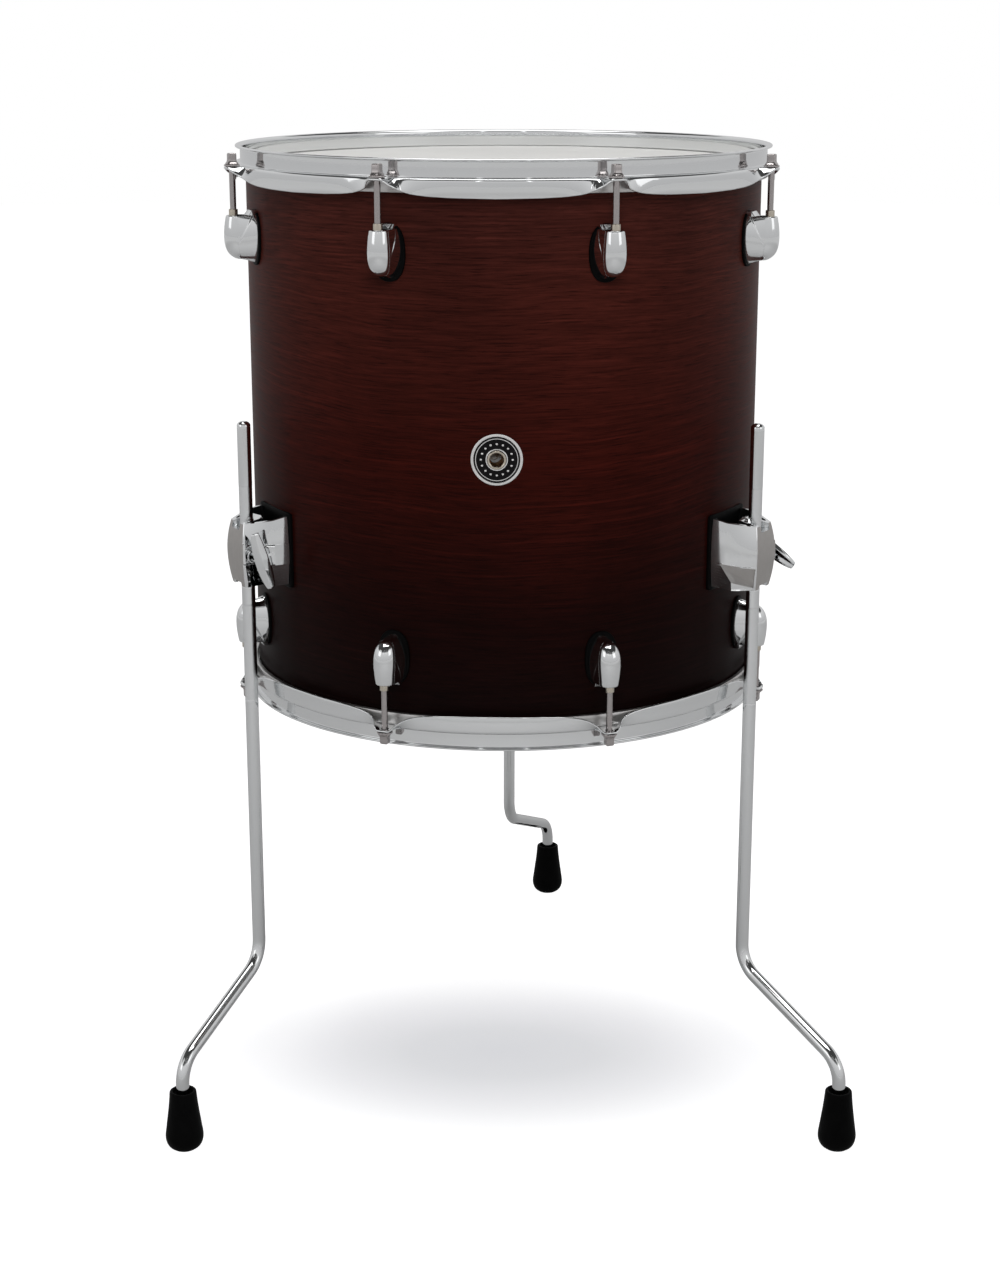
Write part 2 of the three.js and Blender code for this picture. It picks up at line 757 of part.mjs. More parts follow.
// A leg runs down through its bracket, bends outwards, and bends back to stand upright in its foot.
function legGeometry() {
  const slant = Math.atan2(legReach, legUpperBendHeight - legLowerBendHeight);
  const end = footHeight - footSocketDepth + seatGap;
  const stations = [
    [0, legTopHeight, 0, legHalf - legTipChamfer],
    [0, legTopHeight - legTipChamfer * tipHeightShare, 0, legHalf - legTipChamfer * tipRadiusShare],
    [0, legTopHeight - legTipChamfer, 0, legHalf],
    ...bendPoints([0, legUpperBendHeight], 0, slant).map((point) => [...point, legHalf]),
    ...bendPoints([legReach, legLowerBendHeight], slant, 0).map((point) => [...point, legHalf]),
    [legReach, end, 0, legHalf],
  ];
  return loft(stations.map(([x, z, slope, radius]) => Array.from({ length: legFacets }, (unused, i) => {
    const turn = (i / legFacets) * Math.PI * 2;
    const across = radius * Math.cos(turn);
    const [along, up] = [across * Math.cos(slope), across * Math.sin(slope)];
    return new THREE.Vector3(x + along, radius * Math.sin(turn), z + up);
  })));
}

function footGeometry() {
  const sole = footSoleDiameter / 2;
  const belly = footBellyDiameter / 2;
  const top = footTopDiameter / 2;
  return turned([
    [0, 0],
    [sole, 0],
    [sole + (belly - sole) * footSoleEdgeShare, footHeight * footSoleEdgeHeightShare],
    [belly, footHeight * footBellyHeightShare],
    [top + (belly - top) * footWaistShare, footHeight * footWaistHeightShare],
    [top, footHeight],
    [footRecessDiameter / 2, footHeight],
    [footRecessDiameter / 2, footHeight - footRecessDepth],
    [legSocketRadius, footHeight - footRecessDepth],
    [legSocketRadius, footHeight - footSocketDepth],
    [0, footHeight - footSocketDepth],
  ], footFacets);
}

// Everything at one end of the drum, modelled for the top and turned over for the bottom.
function drumEnd(end, headName, hoop, lug, rod) {
  const group = new THREE.Group();
  const turnedOver = end === 'bottom';
  group.position.z = drumMiddleHeight;
  group.rotation.x = turnedOver ? Math.PI : 0;
  group.add(part(`${headName}_film`, filmGeometry(), finishes.film));
  group.add(part(`${headName}_flesh_hoop`, fleshHoopGeometry(), finishes.aluminium));
  group.add(part(`${end}_hoop`, hoop, finishes.chrome));
  for (let i = 0; i < lugCount; i += 1) {
    const azimuth = (i + 0.5) * lugSpacing;
    const place = station(turnedOver ? 180 - azimuth : azimuth);
    place.add(part(`lug_${end}_${i + 1}`, lug, finishes.chrome));
    place.add(part(`tension_rod_${end}_${i + 1}`, rod, finishes.rodSteel));
    group.add(place);
  }
  return group;
}

// A bracket with its gasket, eyebolt and wing nut, all at one place round the drum.
function bracketStation(index, geometries) {
  const place = station(bracketAzimuths[index]);
  place.position.z = drumMiddleHeight + bracketMiddle;
  const number = index + 1;
  place.add(part(`leg_bracket_${number}`, geometries.bracket, finishes.chrome));
  place.add(part(`bracket_gasket_${number}`, geometries.gasket, finishes.rubber));
  const eyebolt = part(`clamp_eyebolt_${number}`, geometries.eyebolt, finishes.rodSteel);
  eyebolt.position.z = -clampDrop;
  place.add(eyebolt);
  const nut = part(`wing_nut_${number}`, geometries.wingNut, finishes.chrome);
  nut.position.set(legRadius, 0, -clampDrop);
  nut.rotation.y = radians(wingAngles[index]);
  place.add(nut);
  return place;
}

// A leg and its foot; the leg is swivelled in its bracket so that it kicks out towards its azimuth.
function legStation(index, leg, foot) {
  const place = station(bracketAzimuths[index]);
  const swivel = new THREE.Group();
  swivel.position.x = legRadius;
  swivel.rotation.z = radians(legAzimuths[index] - bracketAzimuths[index]);
  swivel.add(part(`leg_${index + 1}`, leg, finishes.chrome));
  const boot = part(`foot_${index + 1}`, foot, finishes.rubber);
  boot.position.x = legReach;
  swivel.add(boot);
  place.add(swivel);
  return place;
}

function buildFloorTom() {
  const drum = new THREE.Group();
  const shell = part('shell', shellGeometry(), finishes.stainedWood);
  shell.position.z = drumMiddleHeight;
  drum.add(shell);

  const front = station(0);
  front.position.z = drumMiddleHeight + badgeRise;
  front.add(part('vent_badge', badgeGeometry(), finishes.badge));
  front.add(part('vent_grommet', grommetGeometry(), finishes.nickel));
  drum.add(front);

  const hoop = hoopGeometry();
  const lug = lugGeometry();
  const rod = rodGeometry();
  drum.add(drumEnd('top', 'batter', hoop, lug, rod));
  drum.add(drumEnd('bottom', 'resonant', hoop, lug, rod));

  const clamp = {
    bracket: bracketGeometry(),
    gasket: bracketGasketGeometry(),
    eyebolt: eyeboltGeometry(),
    wingNut: wingNutGeometry(),
  };
  const leg = legGeometry();
  const foot = footGeometry();
  for (let i = 0; i < bracketCount; i += 1) {
    drum.add(bracketStation(i, clamp));
    drum.add(legStation(i, leg, foot));
  }
  return drum;
}

// The origin is on the ground, under the middle of everything the drum and its legs reach.
function centredOnGround(drum) {
  drum.updateMatrixWorld(true);
  const middle = new THREE.Box3().setFromObject(drum, true).getCenter(new THREE.Vector3());
  drum.position.set(-middle.x, -middle.y, 0);
  const object = new THREE.Group();
  object.add(drum);
  object.updateMatrixWorld(true);
  return object;
}

export default centredOnGround(buildFloorTom());
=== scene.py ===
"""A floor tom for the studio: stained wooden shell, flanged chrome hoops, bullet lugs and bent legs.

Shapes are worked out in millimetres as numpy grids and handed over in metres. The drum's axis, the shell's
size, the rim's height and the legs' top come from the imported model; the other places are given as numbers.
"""
import math

import bmesh
import bpy
import numpy as np
from mathutils import Matrix, Vector


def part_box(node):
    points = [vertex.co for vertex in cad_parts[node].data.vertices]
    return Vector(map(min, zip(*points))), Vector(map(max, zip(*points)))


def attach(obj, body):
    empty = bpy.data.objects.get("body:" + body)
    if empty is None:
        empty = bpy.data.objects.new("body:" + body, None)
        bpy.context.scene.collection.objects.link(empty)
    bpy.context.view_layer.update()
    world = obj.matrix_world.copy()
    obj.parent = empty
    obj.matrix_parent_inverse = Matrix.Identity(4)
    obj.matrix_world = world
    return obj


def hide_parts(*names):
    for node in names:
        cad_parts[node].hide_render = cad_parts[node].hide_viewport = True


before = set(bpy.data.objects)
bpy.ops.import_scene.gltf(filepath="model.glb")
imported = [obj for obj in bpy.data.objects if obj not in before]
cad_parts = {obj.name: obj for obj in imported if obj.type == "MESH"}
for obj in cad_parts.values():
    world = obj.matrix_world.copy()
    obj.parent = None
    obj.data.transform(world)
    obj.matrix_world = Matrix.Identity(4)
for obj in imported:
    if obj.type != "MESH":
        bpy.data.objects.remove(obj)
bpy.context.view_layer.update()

MM = 0.001


def corners_mm(node):
    """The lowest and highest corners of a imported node, in millimetres."""
    low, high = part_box(node)
    return np.array(low) / MM, np.array(high) / MM


# The drum as packed
SHELL_LOW, SHELL_HIGH = corners_mm("shell")
AXIS = (SHELL_LOW + SHELL_HIGH) / 2 * np.array([1, 1, 0])
SHELL_BOTTOM = SHELL_LOW[2]
SHELL_TOP = SHELL_HIGH[2]
MIDDLE = (SHELL_BOTTOM + SHELL_TOP) / 2
SHELL_RADIUS = (SHELL_HIGH[0] - SHELL_LOW[0]) / 2
RIM_TOP = corners_mm("top_hoop")[1][2]
SHELL_WALL = 7.5
SEAT_GAP = 0.3

# Hoops
HOOP_SHEET = 1.8
HOOP_WALL = SHELL_RADIUS + 3.1
HOOP_LIP = SHELL_RADIUS + 6.9
HOOP_BEND = SHELL_RADIUS + 8.5
FLANGE_MIDDLE = SHELL_TOP + 0.6
EAR_COUNT = 8
EAR_SPACING = 360 / EAR_COUNT
ROD_CIRCLE = SHELL_RADIUS + 17.4

# Tension rods and their collars
ROD_RADIUS = 2.4
COLLAR_RADIUS = 3.45
COLLAR_HEIGHT = 6
ROD_INSERTION = 17
EAR_TOP = SHELL_TOP + 1.5

# Lugs
LUG_TOP = SHELL_TOP - 36.4
LUG_HEIGHT = 31.6
LUG_RISE = 1.4
LUG_MIDDLE = LUG_TOP - LUG_HEIGHT / 2

# Leg clamps
BRACKET_AZIMUTHS = (-60, 60, 180)
BRACKET_MIDDLE = SHELL_BOTTOM + 116.5
BRACKET_BACK = SHELL_RADIUS + 2.8
CLAMP_HEIGHT = BRACKET_MIDDLE - 2
LEG_CIRCLE = SHELL_RADIUS + 24.1
LEG_RADIUS = 5.25
WING_ANGLES = (16, -58, 30)
LEG_AZIMUTHS = (-25.2, 38.1, 161.4)
LEG_TOP = corners_mm("leg_1")[1][2]
LEG_REACH = 115
KNURL_PITCH = 1.35
KNURLED = ((510, 431.1), (415.8, 338))

# Badge and vent
BADGE_MIDDLE = MIDDLE + 3
VENT_RADIUS = 5.2

# The camera, fitted to the photograph
CAMERA_DISTANCE = 1843.4
CAMERA_HEIGHT = 864.6
CAMERA_AZIMUTH = 1.39
CAMERA_YAW = 0.09
CAMERA_PITCH = 15.48
FOCAL_PIXELS = 2285.2
FRAME_PIXELS = 1286
SENSOR = 36


# Mesh kit

def smoothstep(x):
    """Zero below 0, one above 1, and 3x^2 - 2x^3 between."""
    x = np.clip(x, 0, 1)
    return x * x * (3 - 2 * x)


def softened(corners, setbacks, steps=6):
    """A path through corner points whose inner corners are parabolas.

    corners is (..., k, 2 or 3). At each inner corner the path leaves the straight line a setback
    before it and joins the next line a setback after it, as (1-s)^2 A + 2s(1-s) C + s^2 B.
    """
    corners = np.asarray(corners, float)
    pieces = [corners[..., :1, :]]
    s = np.linspace(0, 1, steps)[:, None]
    for i, setback in enumerate(setbacks, start=1):
        before, here, after = (corners[..., i + j, :][..., None, :] for j in (-1, 0, 1))
        back = before - here
        on = after - here
        back_length = np.linalg.norm(back, axis=-1, keepdims=True)
        on_length = np.linalg.norm(on, axis=-1, keepdims=True)
        start = here + back / back_length * np.minimum(setback, back_length * 0.49)
        end = here + on / on_length * np.minimum(setback, on_length * 0.49)
        pieces.append((1 - s) ** 2 * start + 2 * s * (1 - s) * here + s ** 2 * end)
    pieces.append(corners[..., -1:, :])
    return np.concatenate(pieces, axis=-2)


def rounded_loop(corners, setback, steps=6):
    """A closed outline with every corner softened alike."""
    corners = np.asarray(corners, float)
    wrapped = np.concatenate([corners[..., -1:, :], corners, corners[..., :1, :]], axis=-2)
    path = softened(wrapped, [setback] * corners.shape[-2], steps)
    return path[..., 1:-1, :]


def thickened(path, half, cap_steps=7):
    """A path in a plane as the outline of a sheet: both offsets, with half circles round the ends."""
    tangent = np.gradient(path, axis=-2)
    tangent /= np.linalg.norm(tangent, axis=-1, keepdims=True)
    normal = np.stack([-tangent[..., 1], tangent[..., 0]], axis=-1)
    turn = np.linspace(0, math.pi, cap_steps)[1:-1, None]
    cap = lambda end: half * (np.cos(turn) * normal[..., end, :] + np.sin(turn) * tangent[..., end, :])
    last = path[..., -1:, :] + cap(slice(-1, None))
    first = path[..., :1, :] - cap(slice(None, 1))
    sides = (path + half * normal, last, (path - half * normal)[..., ::-1, :], first)
    return np.concatenate(sides, axis=-2)


def skin(rings, joined=False):
    """Points and faces over a grid of closed rings (rows, columns, 3).

    Neighbouring rings are joined by quads; the first and last are joined too, or capped.
    """
    rows, columns = rings.shape[:2]
    index = np.arange(rows * columns).reshape(rows, columns)
    near = index if joined else index[:-1]
    far = np.roll(index, -1, axis=0) if joined else index[1:]
    quads = np.stack([near, np.roll(near, -1, axis=1), np.roll(far, -1, axis=1), far], axis=-1)
    faces = quads.reshape(-1, 4).tolist()
    if not joined:
        faces += [index[0, ::-1].tolist(), index[-1].tolist()]
    return rings.reshape(-1, 3), faces


def full_turn(steps):
    """Angles of a whole turn, in equal steps from 0."""
    return np.linspace(0, 2 * math.pi, steps, endpoint=False)


def turned(profile, steps=64, loop=False):
    """A profile of (radius, height) turned about Z, capped at both ends or closed on itself."""
    profile = np.asarray(profile, float)
    turn = full_turn(steps)
    radius, height = profile[:, :1], profile[:, 1:]
    rings = np.stack([radius * np.cos(turn), radius * np.sin(turn), height + 0 * turn], axis=-1)
    return skin(rings, joined=loop)


def cylinder(radius, low, high, steps):
    """A closed cylinder about Z."""
    return turned([(radius, low), (radius, high)], steps)


def collar_ring(inner, outer, low, high, setback, corner_steps, steps):
    """A ring about Z whose section is a rectangle with softened corners."""
    corners = [(inner, low), (outer, low), (outer, high), (inner, high)]
    return turned(rounded_loop(corners, setback, corner_steps), steps, loop=True)


def lofted(outline, heights):
    """An outline in XY carried straight up Z through some heights."""
    outline = np.asarray(outline, float)
    rings = np.stack([np.column_stack([outline, np.full(len(outline), z)]) for z in heights])
    return skin(rings)


def moved(shell, matrix):
    """A shell of points and faces after a 3x3 or 4x4 matrix."""
    points, faces = shell
    matrix = np.asarray(matrix, float)
    turned_points = points @ matrix[:3, :3].T
    return (turned_points + matrix[:3, 3] if matrix.shape[0] == 4 else turned_points), faces


def shifted(shell, x=0, y=0, z=0):
    """A shell of points and faces moved along the axes."""
    points, faces = shell
    return points + np.array([x, y, z]), faces


# Local X, Y, Z onto Y, Z, X, and onto X, Z, -Y, for shapes drawn lying down
OUTWARDS = np.array([[0, 0, 1], [1, 0, 0], [0, 1, 0]])
SIDEWAYS = np.array([[1, 0, 0], [0, 0, 1], [0, -1, 0]])


def station(azimuth):
    """The frame of a place round the drum: X outwards from its axis, Y with the azimuth, Z up."""
    turn = math.radians(azimuth)
    matrix = np.eye(4)
    matrix[:3, 0] = math.sin(turn), -math.cos(turn), 0
    matrix[:3, 1] = math.cos(turn), math.sin(turn), 0
    matrix[:3, 3] = AXIS
    return matrix


def upended(shell):
    """The same shell at the drum's other end: mirrored in the drum's middle plane."""
    points, faces = shell
    return points * np.array([1, 1, -1]) + np.array([0, 0, 2 * MIDDLE]), faces


def wrapped(points):
    """Points (out from the shell, along its side, up) bent round the shell's own radius."""
    radius = SHELL_RADIUS + points[..., 0]
    turn = points[..., 1] / SHELL_RADIUS
    return np.stack([radius * np.cos(turn), radius * np.sin(turn), points[..., 2]], axis=-1)


def closed_mesh(name, points, faces):
    """A mesh from points in millimetres, with its faces turned outwards."""
    mesh = bpy.data.meshes.new(name)
    mesh.from_pydata((points * MM).tolist(), [], faces)
    bm = bmesh.new()
    bm.from_mesh(mesh)
    bmesh.ops.recalc_face_normals(bm, faces=bm.faces)
    bm.to_mesh(mesh)
    bm.free()
    return mesh


def linked(name, data):
    """A new object in the scene that holds a mesh, a lamp or a camera."""
    obj = bpy.data.objects.new(name, data)
    bpy.context.scene.collection.objects.link(obj)
    return obj


def smoothed(mesh, crease):
    """Shades a mesh smooth, except at edges that turn by more than crease degrees."""
    mesh.shade_smooth()
    mesh.set_sharp_from_angle(angle=math.radians(crease))


def piece(name, shells, material, body="drum", stands_for=(), crease=40):
    """One finished piece: closed shells in millimetres joined into a mesh that rides on a body."""
    points, faces, start = [], [], 0
    for shell_points, shell_faces in shells:
        points.append(shell_points)
        faces += [[start + i for i in face] for face in shell_faces]
        start += len(shell_points)
    mesh = closed_mesh(name, np.concatenate(points), faces)
    smoothed(mesh, crease)
    mesh.materials.append(material)
    obj = linked(name, mesh)
    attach(obj, body)
    if stands_for:
        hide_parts(*stands_for)
    return obj


def cut(obj, shells, operation="DIFFERENCE"):
    """Cuts closed shells in millimetres out of a piece, or adds them, and keeps the result."""
    for points, faces in shells:
        cutter = linked("cutter", closed_mesh("cutter", points, faces))
        modifier = obj.modifiers.new("cut", "BOOLEAN")
        modifier.operation = operation
        modifier.solver = "EXACT"
        modifier.object = cutter
        apply_modifiers(obj)
        bpy.data.objects.remove(cutter)


def apply_modifiers(obj):
    """Replaces a piece's mesh by what its modifiers make of it."""
    depsgraph = bpy.context.evaluated_depsgraph_get()
    depsgraph.update()
    result = bpy.data.meshes.new_from_object(obj.evaluated_get(depsgraph), depsgraph=depsgraph)
    obj.modifiers.clear()
    obj.data = result


def by_face(mesh, kind):
    """The centre or the normal of every face of a mesh, as it is stored."""
    values = np.zeros(len(mesh.polygons) * 3)
    mesh.polygons.foreach_get(kind, values)
    return values.reshape(-1, 3)


def paint(mesh, finish):
    """Gives every face the number of its material."""
    mesh.polygons.foreach_set("material_index", finish.astype(np.int32))


# Materials

def node_group(name, inputs, outputs):
    """A shader group with float inputs (name, value) and typed outputs; returns it with its ends."""
    group = bpy.data.node_groups.new(name, "ShaderNodeTree")
    group.interface.new_socket("Vector", in_out="INPUT", socket_type="NodeSocketVector")
    for label, value in inputs:
        socket = group.interface.new_socket(label, in_out="INPUT", socket_type="NodeSocketFloat")
        socket.default_value = value
    for label, kind in outputs:
        group.interface.new_socket(label, in_out="OUTPUT", socket_type=kind)
    start = group.nodes.new("NodeGroupInput")
    end = group.nodes.new("NodeGroupOutput")
    return group, start.outputs, end.inputs


def feed(tree, node, links):
    """Links or sets a node's sockets from (socket, source or value)."""
    for socket, source in links:
        if isinstance(source, bpy.types.NodeSocket):
            tree.links.new(source, node.inputs[socket])
        else:
            node.inputs[socket].default_value = source


def add(tree, kind, links=(), **settings):
    """A node with its settings made and its sockets fed."""
    node = tree.nodes.new(kind)
    for key, value in settings.items():
        setattr(node, key, value)
    feed(tree, node, links)
    return node


def math_node(tree, operation, *values):
    """Arithmetic on single values."""
    return add(tree, "ShaderNodeMath", list(enumerate(values)), operation=operation).outputs[0]


def vector_node(tree, operation, vector, other=None):
    """Arithmetic on a vector; the other value is a vector too, or the factor of a scaling."""
    links = [(0, vector)]
    if other is not None:
        links.append(("Scale" if operation == "SCALE" else 1, other))
    outputs = add(tree, "ShaderNodeVectorMath", links, operation=operation).outputs
    return outputs["Value" if operation == "LENGTH" else "Vector"]


def remapped(tree, value, low, high, to_low=0.0, to_high=1.0):
    """A value carried from the range low to high onto another, and held inside it."""
    links = [("Value", value), ("From Min", low), ("From Max", high), ("To Min", to_low), ("To Max", to_high)]
    return add(tree, "ShaderNodeMapRange", links).outputs["Result"]


def noise(tree, place, scale, detail=2.0, roughness=0.5, rotation=(0, 0, 0)):
    """Noise at a place; three scales in place of one stretch it along X, Y and Z."""
    if isinstance(scale, tuple):
        links = [("Vector", place), ("Rotation", rotation), ("Scale", scale)]
        place, scale = add(tree, "ShaderNodeMapping", links).outputs[0], 1.0
    links = [("Vector", place), ("Scale", scale), ("Detail", detail), ("Roughness", roughness)]
    return add(tree, "ShaderNodeTexNoise", links).outputs["Fac"]


def ramp(tree, factor, stops):
    """A colour ramp; stops are (position, colour)."""
    node = add(tree, "ShaderNodeValToRGB", [("Fac", factor)])
    elements = node.color_ramp.elements
    while len(elements) < len(stops):
        elements.new(0.5)
    for element, (position, colour) in zip(elements, stops):
        element.position = position
        element.color = (*colour, 1)
    return node.outputs["Color"]


def grain_group():
    """Wood grain that runs level round the shell: streaks, pores, slow figure and flames.

    All four are noise in a stretched space that a slower noise lifts a little.
    """
    labels = ("Streaks", "Pores", "Figure", "Flames")
    outputs = [(label, "NodeSocketFloat") for label in labels]
    group, given, result = node_group("Level wood grain", [("Fineness", 1.0)], outputs)
    place = vector_node(group, "SCALE", given["Vector"], given["Fineness"])
    warp = add(group, "ShaderNodeTexNoise", [("Vector", place), ("Scale", 4.0), ("Detail", 2.0)])
    lift = vector_node(group, "MULTIPLY", warp.outputs["Color"], (0.0, 0.0, 0.028))
    bent = vector_node(group, "ADD", place, lift)
    masks = (
        noise(group, bent, (26.0, 26.0, 620.0), detail=7.0, roughness=0.66),
        remapped(group, noise(group, bent, (60.0, 60.0, 1300.0)), 0.56, 0.72),
        noise(group, place, (9.0, 9.0, 3.2), detail=3.0),
        remapped(group, noise(group, bent, (7.0, 7.0, 300.0), detail=3.0), 0.6, 0.76),
    )
    for label, mask in zip(labels, masks):
        group.links.new(mask, result[label])
    return group


def handling_group():
    """Marks of use: cloudy smears and fine scratches, as a roughness and a height."""
    outputs = [("Roughness", "NodeSocketFloat"), ("Height", "NodeSocketFloat")]
    inputs = [("Scale", 1.0), ("Lowest", 0.05), ("Highest", 0.12)]
    group, given, result = node_group("Handling marks", inputs, outputs)
    place = vector_node(group, "SCALE", given["Vector"], given["Scale"])
    smears = noise(group, place, 38.0, detail=4.0, roughness=0.62)
    scratches = noise(group, place, (90.0, 1500.0, 90.0), rotation=(0.5, 0.3, 0.8))
    marks = math_node(group, "MULTIPLY_ADD", scratches, 0.35, smears)
    group.links.new(remapped(group, marks, 0.42, 0.95, given["Lowest"], given["Highest"]), result["Roughness"])
    group.links.new(marks, result["Height"])
    return group


GRAIN = grain_group()
HANDLING = handling_group()


def new_material(name):
    """An empty material with its tree, shader and object coordinates."""
    material = bpy.data.materials.new(name)
    material.use_nodes = True
    tree = material.node_tree
    shader = tree.nodes["Principled BSDF"]
    place = add(tree, "ShaderNodeTexCoord").outputs["Object"]
    return material, tree, shader, place


def bump(tree, shader, height, strength, distance):
    """Fine relief that only the shading shows; the distance is in metres."""
    node = add(tree, "ShaderNodeBump", [("Height", height), ("Strength", strength), ("Distance", distance)])
    tree.links.new(node.outputs[0], shader.inputs["Normal"])


def place_group(tree, group, place, **values):
    """A shared group used at a place, with its other inputs set; returns its outputs."""
    return add(tree, "ShaderNodeGroup", [("Vector", place), *values.items()], node_tree=group).outputs


def stained_wood():
    """Dark red-brown stained wood under a satin lacquer; painted shade darkens it towards the bottom."""
    material, tree, shader, place = new_material("stained shell")
    grain = place_group(tree, GRAIN, place, Fineness=1.0)
    height = add(tree, "ShaderNodeSeparateXYZ", [(0, place)]).outputs["Z"]
    # Painted shade: the colour ramp darkens from the shell's top edge to its bottom edge, over the wood's own
    # red-brown.
    stain_with_painted_shade = ramp(tree, remapped(tree, height, SHELL_BOTTOM * MM, SHELL_TOP * MM), [
        (0.0, (0.0062, 0.0021, 0.0020)),
        (0.2, (0.0110, 0.0018, 0.0013)),
        (0.5, (0.044, 0.0054, 0.0032)),
        (0.8, (0.068, 0.0135, 0.0092)),
        (1.0, (0.074, 0.0185, 0.0140)),
    ])
    contrast = remapped(tree, grain["Streaks"], 0.38, 0.68)
    streak = math_node(tree, "MULTIPLY_ADD", contrast, 0.7, 0.68)
    streak = math_node(tree, "MULTIPLY_ADD", grain["Flames"], 0.6, streak)
    figure = math_node(tree, "MULTIPLY_ADD", grain["Figure"], 1.1, 0.45)
    tone = math_node(tree, "MULTIPLY", streak, figure)
    pores = math_node(tree, "MULTIPLY_ADD", grain["Pores"], -0.5, 1.0)
    shade = math_node(tree, "MULTIPLY", tone, pores)
    feed(tree, shader, [
        ("Base Color", vector_node(tree, "SCALE", stain_with_painted_shade, shade)),
        ("Roughness", math_node(tree, "MULTIPLY_ADD", grain["Streaks"], 0.16, 0.34)),
        ("Specular IOR Level", 0.035),
        ("Coat Weight", 0.012),
        ("Coat Roughness", 0.3),
    ])
    relief = math_node(tree, "SUBTRACT", grain["Streaks"], grain["Pores"])
    bump(tree, shader, relief, 0.12, 0.0002)
    return material


def bare_wood():
    """Pale unfinished wood of the shell's inside and bearing edges."""
    material, tree, shader, place = new_material("bare shell wood")
    grain = place_group(tree, GRAIN, place, Fineness=0.8)
    colour = ramp(tree, grain["Streaks"], [
        (0.3, (0.34, 0.19, 0.10)),
        (0.55, (0.50, 0.31, 0.17)),
        (0.75, (0.60, 0.40, 0.24)),
    ])
    pores = math_node(tree, "MULTIPLY_ADD", grain["Pores"], -0.35, 1.0)
    feed(tree, shader, [
        ("Base Color", vector_node(tree, "SCALE", colour, pores)),
        ("Roughness", math_node(tree, "MULTIPLY_ADD", grain["Figure"], 0.2, 0.5)),
    ])
    bump(tree, shader, grain["Streaks"], 0.15, 0.0003)
    return material


def metal(name, colour, lowest, highest, marks=0.02, scale=1.0):
    """A plated or bare metal with handling marks."""
    material, tree, shader, place = new_material(name)
    wear = place_group(tree, HANDLING, place, Scale=scale, Lowest=lowest, Highest=highest)
    feed(tree, shader, [("Base Color", (*colour, 1)), ("Metallic", 1), ("Roughness", wear["Roughness"])])
    bump(tree, shader, wear["Height"], marks, 0.00005)
    return material


def rubber():
    """Black moulded rubber with a faint bloom."""
    material, tree, shader, place = new_material("black rubber")
    wear = place_group(tree, HANDLING, place, Scale=1.4, Lowest=0.32, Highest=0.6)
    feed(tree, shader, [
        ("Base Color", ramp(tree, wear["Height"], [(0.4, (0.0016, 0.0016, 0.0017)), (0.95, (0.0042, 0.0042, 0.0043))])),
        ("Roughness", wear["Roughness"]),
        ("Specular IOR Level", 0.035),
    ])
    bump(tree, shader, wear["Height"], 0.08, 0.0002)
    return material


def coated_film():
    """White sprayed coating on the playing film: a fine speckle over slow clouds of tone."""
    material, tree, shader, place = new_material("coated film")
    speckle = noise(tree, place, 900.0, detail=3.0)
    clouds = noise(tree, place, 7.0, detail=3.0)
    mixed = math_node(tree, "MULTIPLY_ADD", speckle, 0.4, math_node(tree, "MULTIPLY", clouds, 0.6))
    feed(tree, shader, [
        ("Base Color", ramp(tree, mixed, [(0.35, (0.74, 0.735, 0.715)), (0.65, (0.83, 0.825, 0.80))])),
        ("Roughness", math_node(tree, "MULTIPLY_ADD", speckle, 0.2, 0.45)),
    ])
    bump(tree, shader, speckle, 0.25, 0.0001)
    return material


def clear_film():
    """The thin clear film of the lower head, slightly hazy."""
    material, tree, shader, place = new_material("clear film")
    haze = noise(tree, place, 9.0, detail=4.0)
    feed(tree, shader, [
        ("Base Color", ramp(tree, haze, [(0.3, (0.72, 0.74, 0.75)), (0.7, (0.80, 0.82, 0.83))])),
        ("Roughness", math_node(tree, "MULTIPLY_ADD", haze, 0.12, 0.06)),
        ("Alpha", 0.32),
    ])
    return material


def enamel():
    """Black enamel filling the badge."""
    material, tree, shader, place = new_material("badge enamel")
    wear = place_group(tree, HANDLING, place, Scale=3.0, Lowest=0.16, Highest=0.34)
    feed(tree, shader, [
        ("Base Color", ramp(tree, wear["Height"], [(0.4, (0.0025, 0.0025, 0.003)), (0.95, (0.006, 0.0055, 0.006))])),
        ("Roughness", wear["Roughness"]),
        ("Specular IOR Level", 0.12),
    ])
    return material


STAINED = stained_wood()
BARE = bare_wood()
CHROME = metal("chrome plate", (0.80, 0.81, 0.815), 0.035, 0.10)
ROD_STEEL = metal("rod steel", (0.44, 0.41, 0.405), 0.2, 0.32)
NICKEL = metal("nickel plate", (0.60, 0.545, 0.46), 0.2, 0.36)
ALUMINIUM = metal("rolled aluminium", (0.62, 0.61, 0.60), 0.28, 0.45, marks=0.06)
BADGE_METAL = metal("badge silver", (0.86, 0.85, 0.84), 0.16, 0.3, marks=0.05)
# A duller, darker metal on the bracket's face and on the floor of its low pocket.
DULL_METAL = metal("dull darker metal", (0.46, 0.44, 0.425), 0.34, 0.5, marks=0.25, scale=6.0)
# Painted shade: a near-black metal that darkens the bracket's hollows.
HOLLOW_SHADE_METAL = metal("painted shade in casting hollows", (0.03, 0.03, 0.032), 0.5, 0.7, marks=0.3, scale=4.0)
ZINC = metal("zinc plate", (0.56, 0.56, 0.55), 0.25, 0.45, marks=0.06)
RUBBER = rubber()
COATED = coated_film()
CLEAR = clear_film()
ENAMEL = enamel()


# Shell, heads and hoops

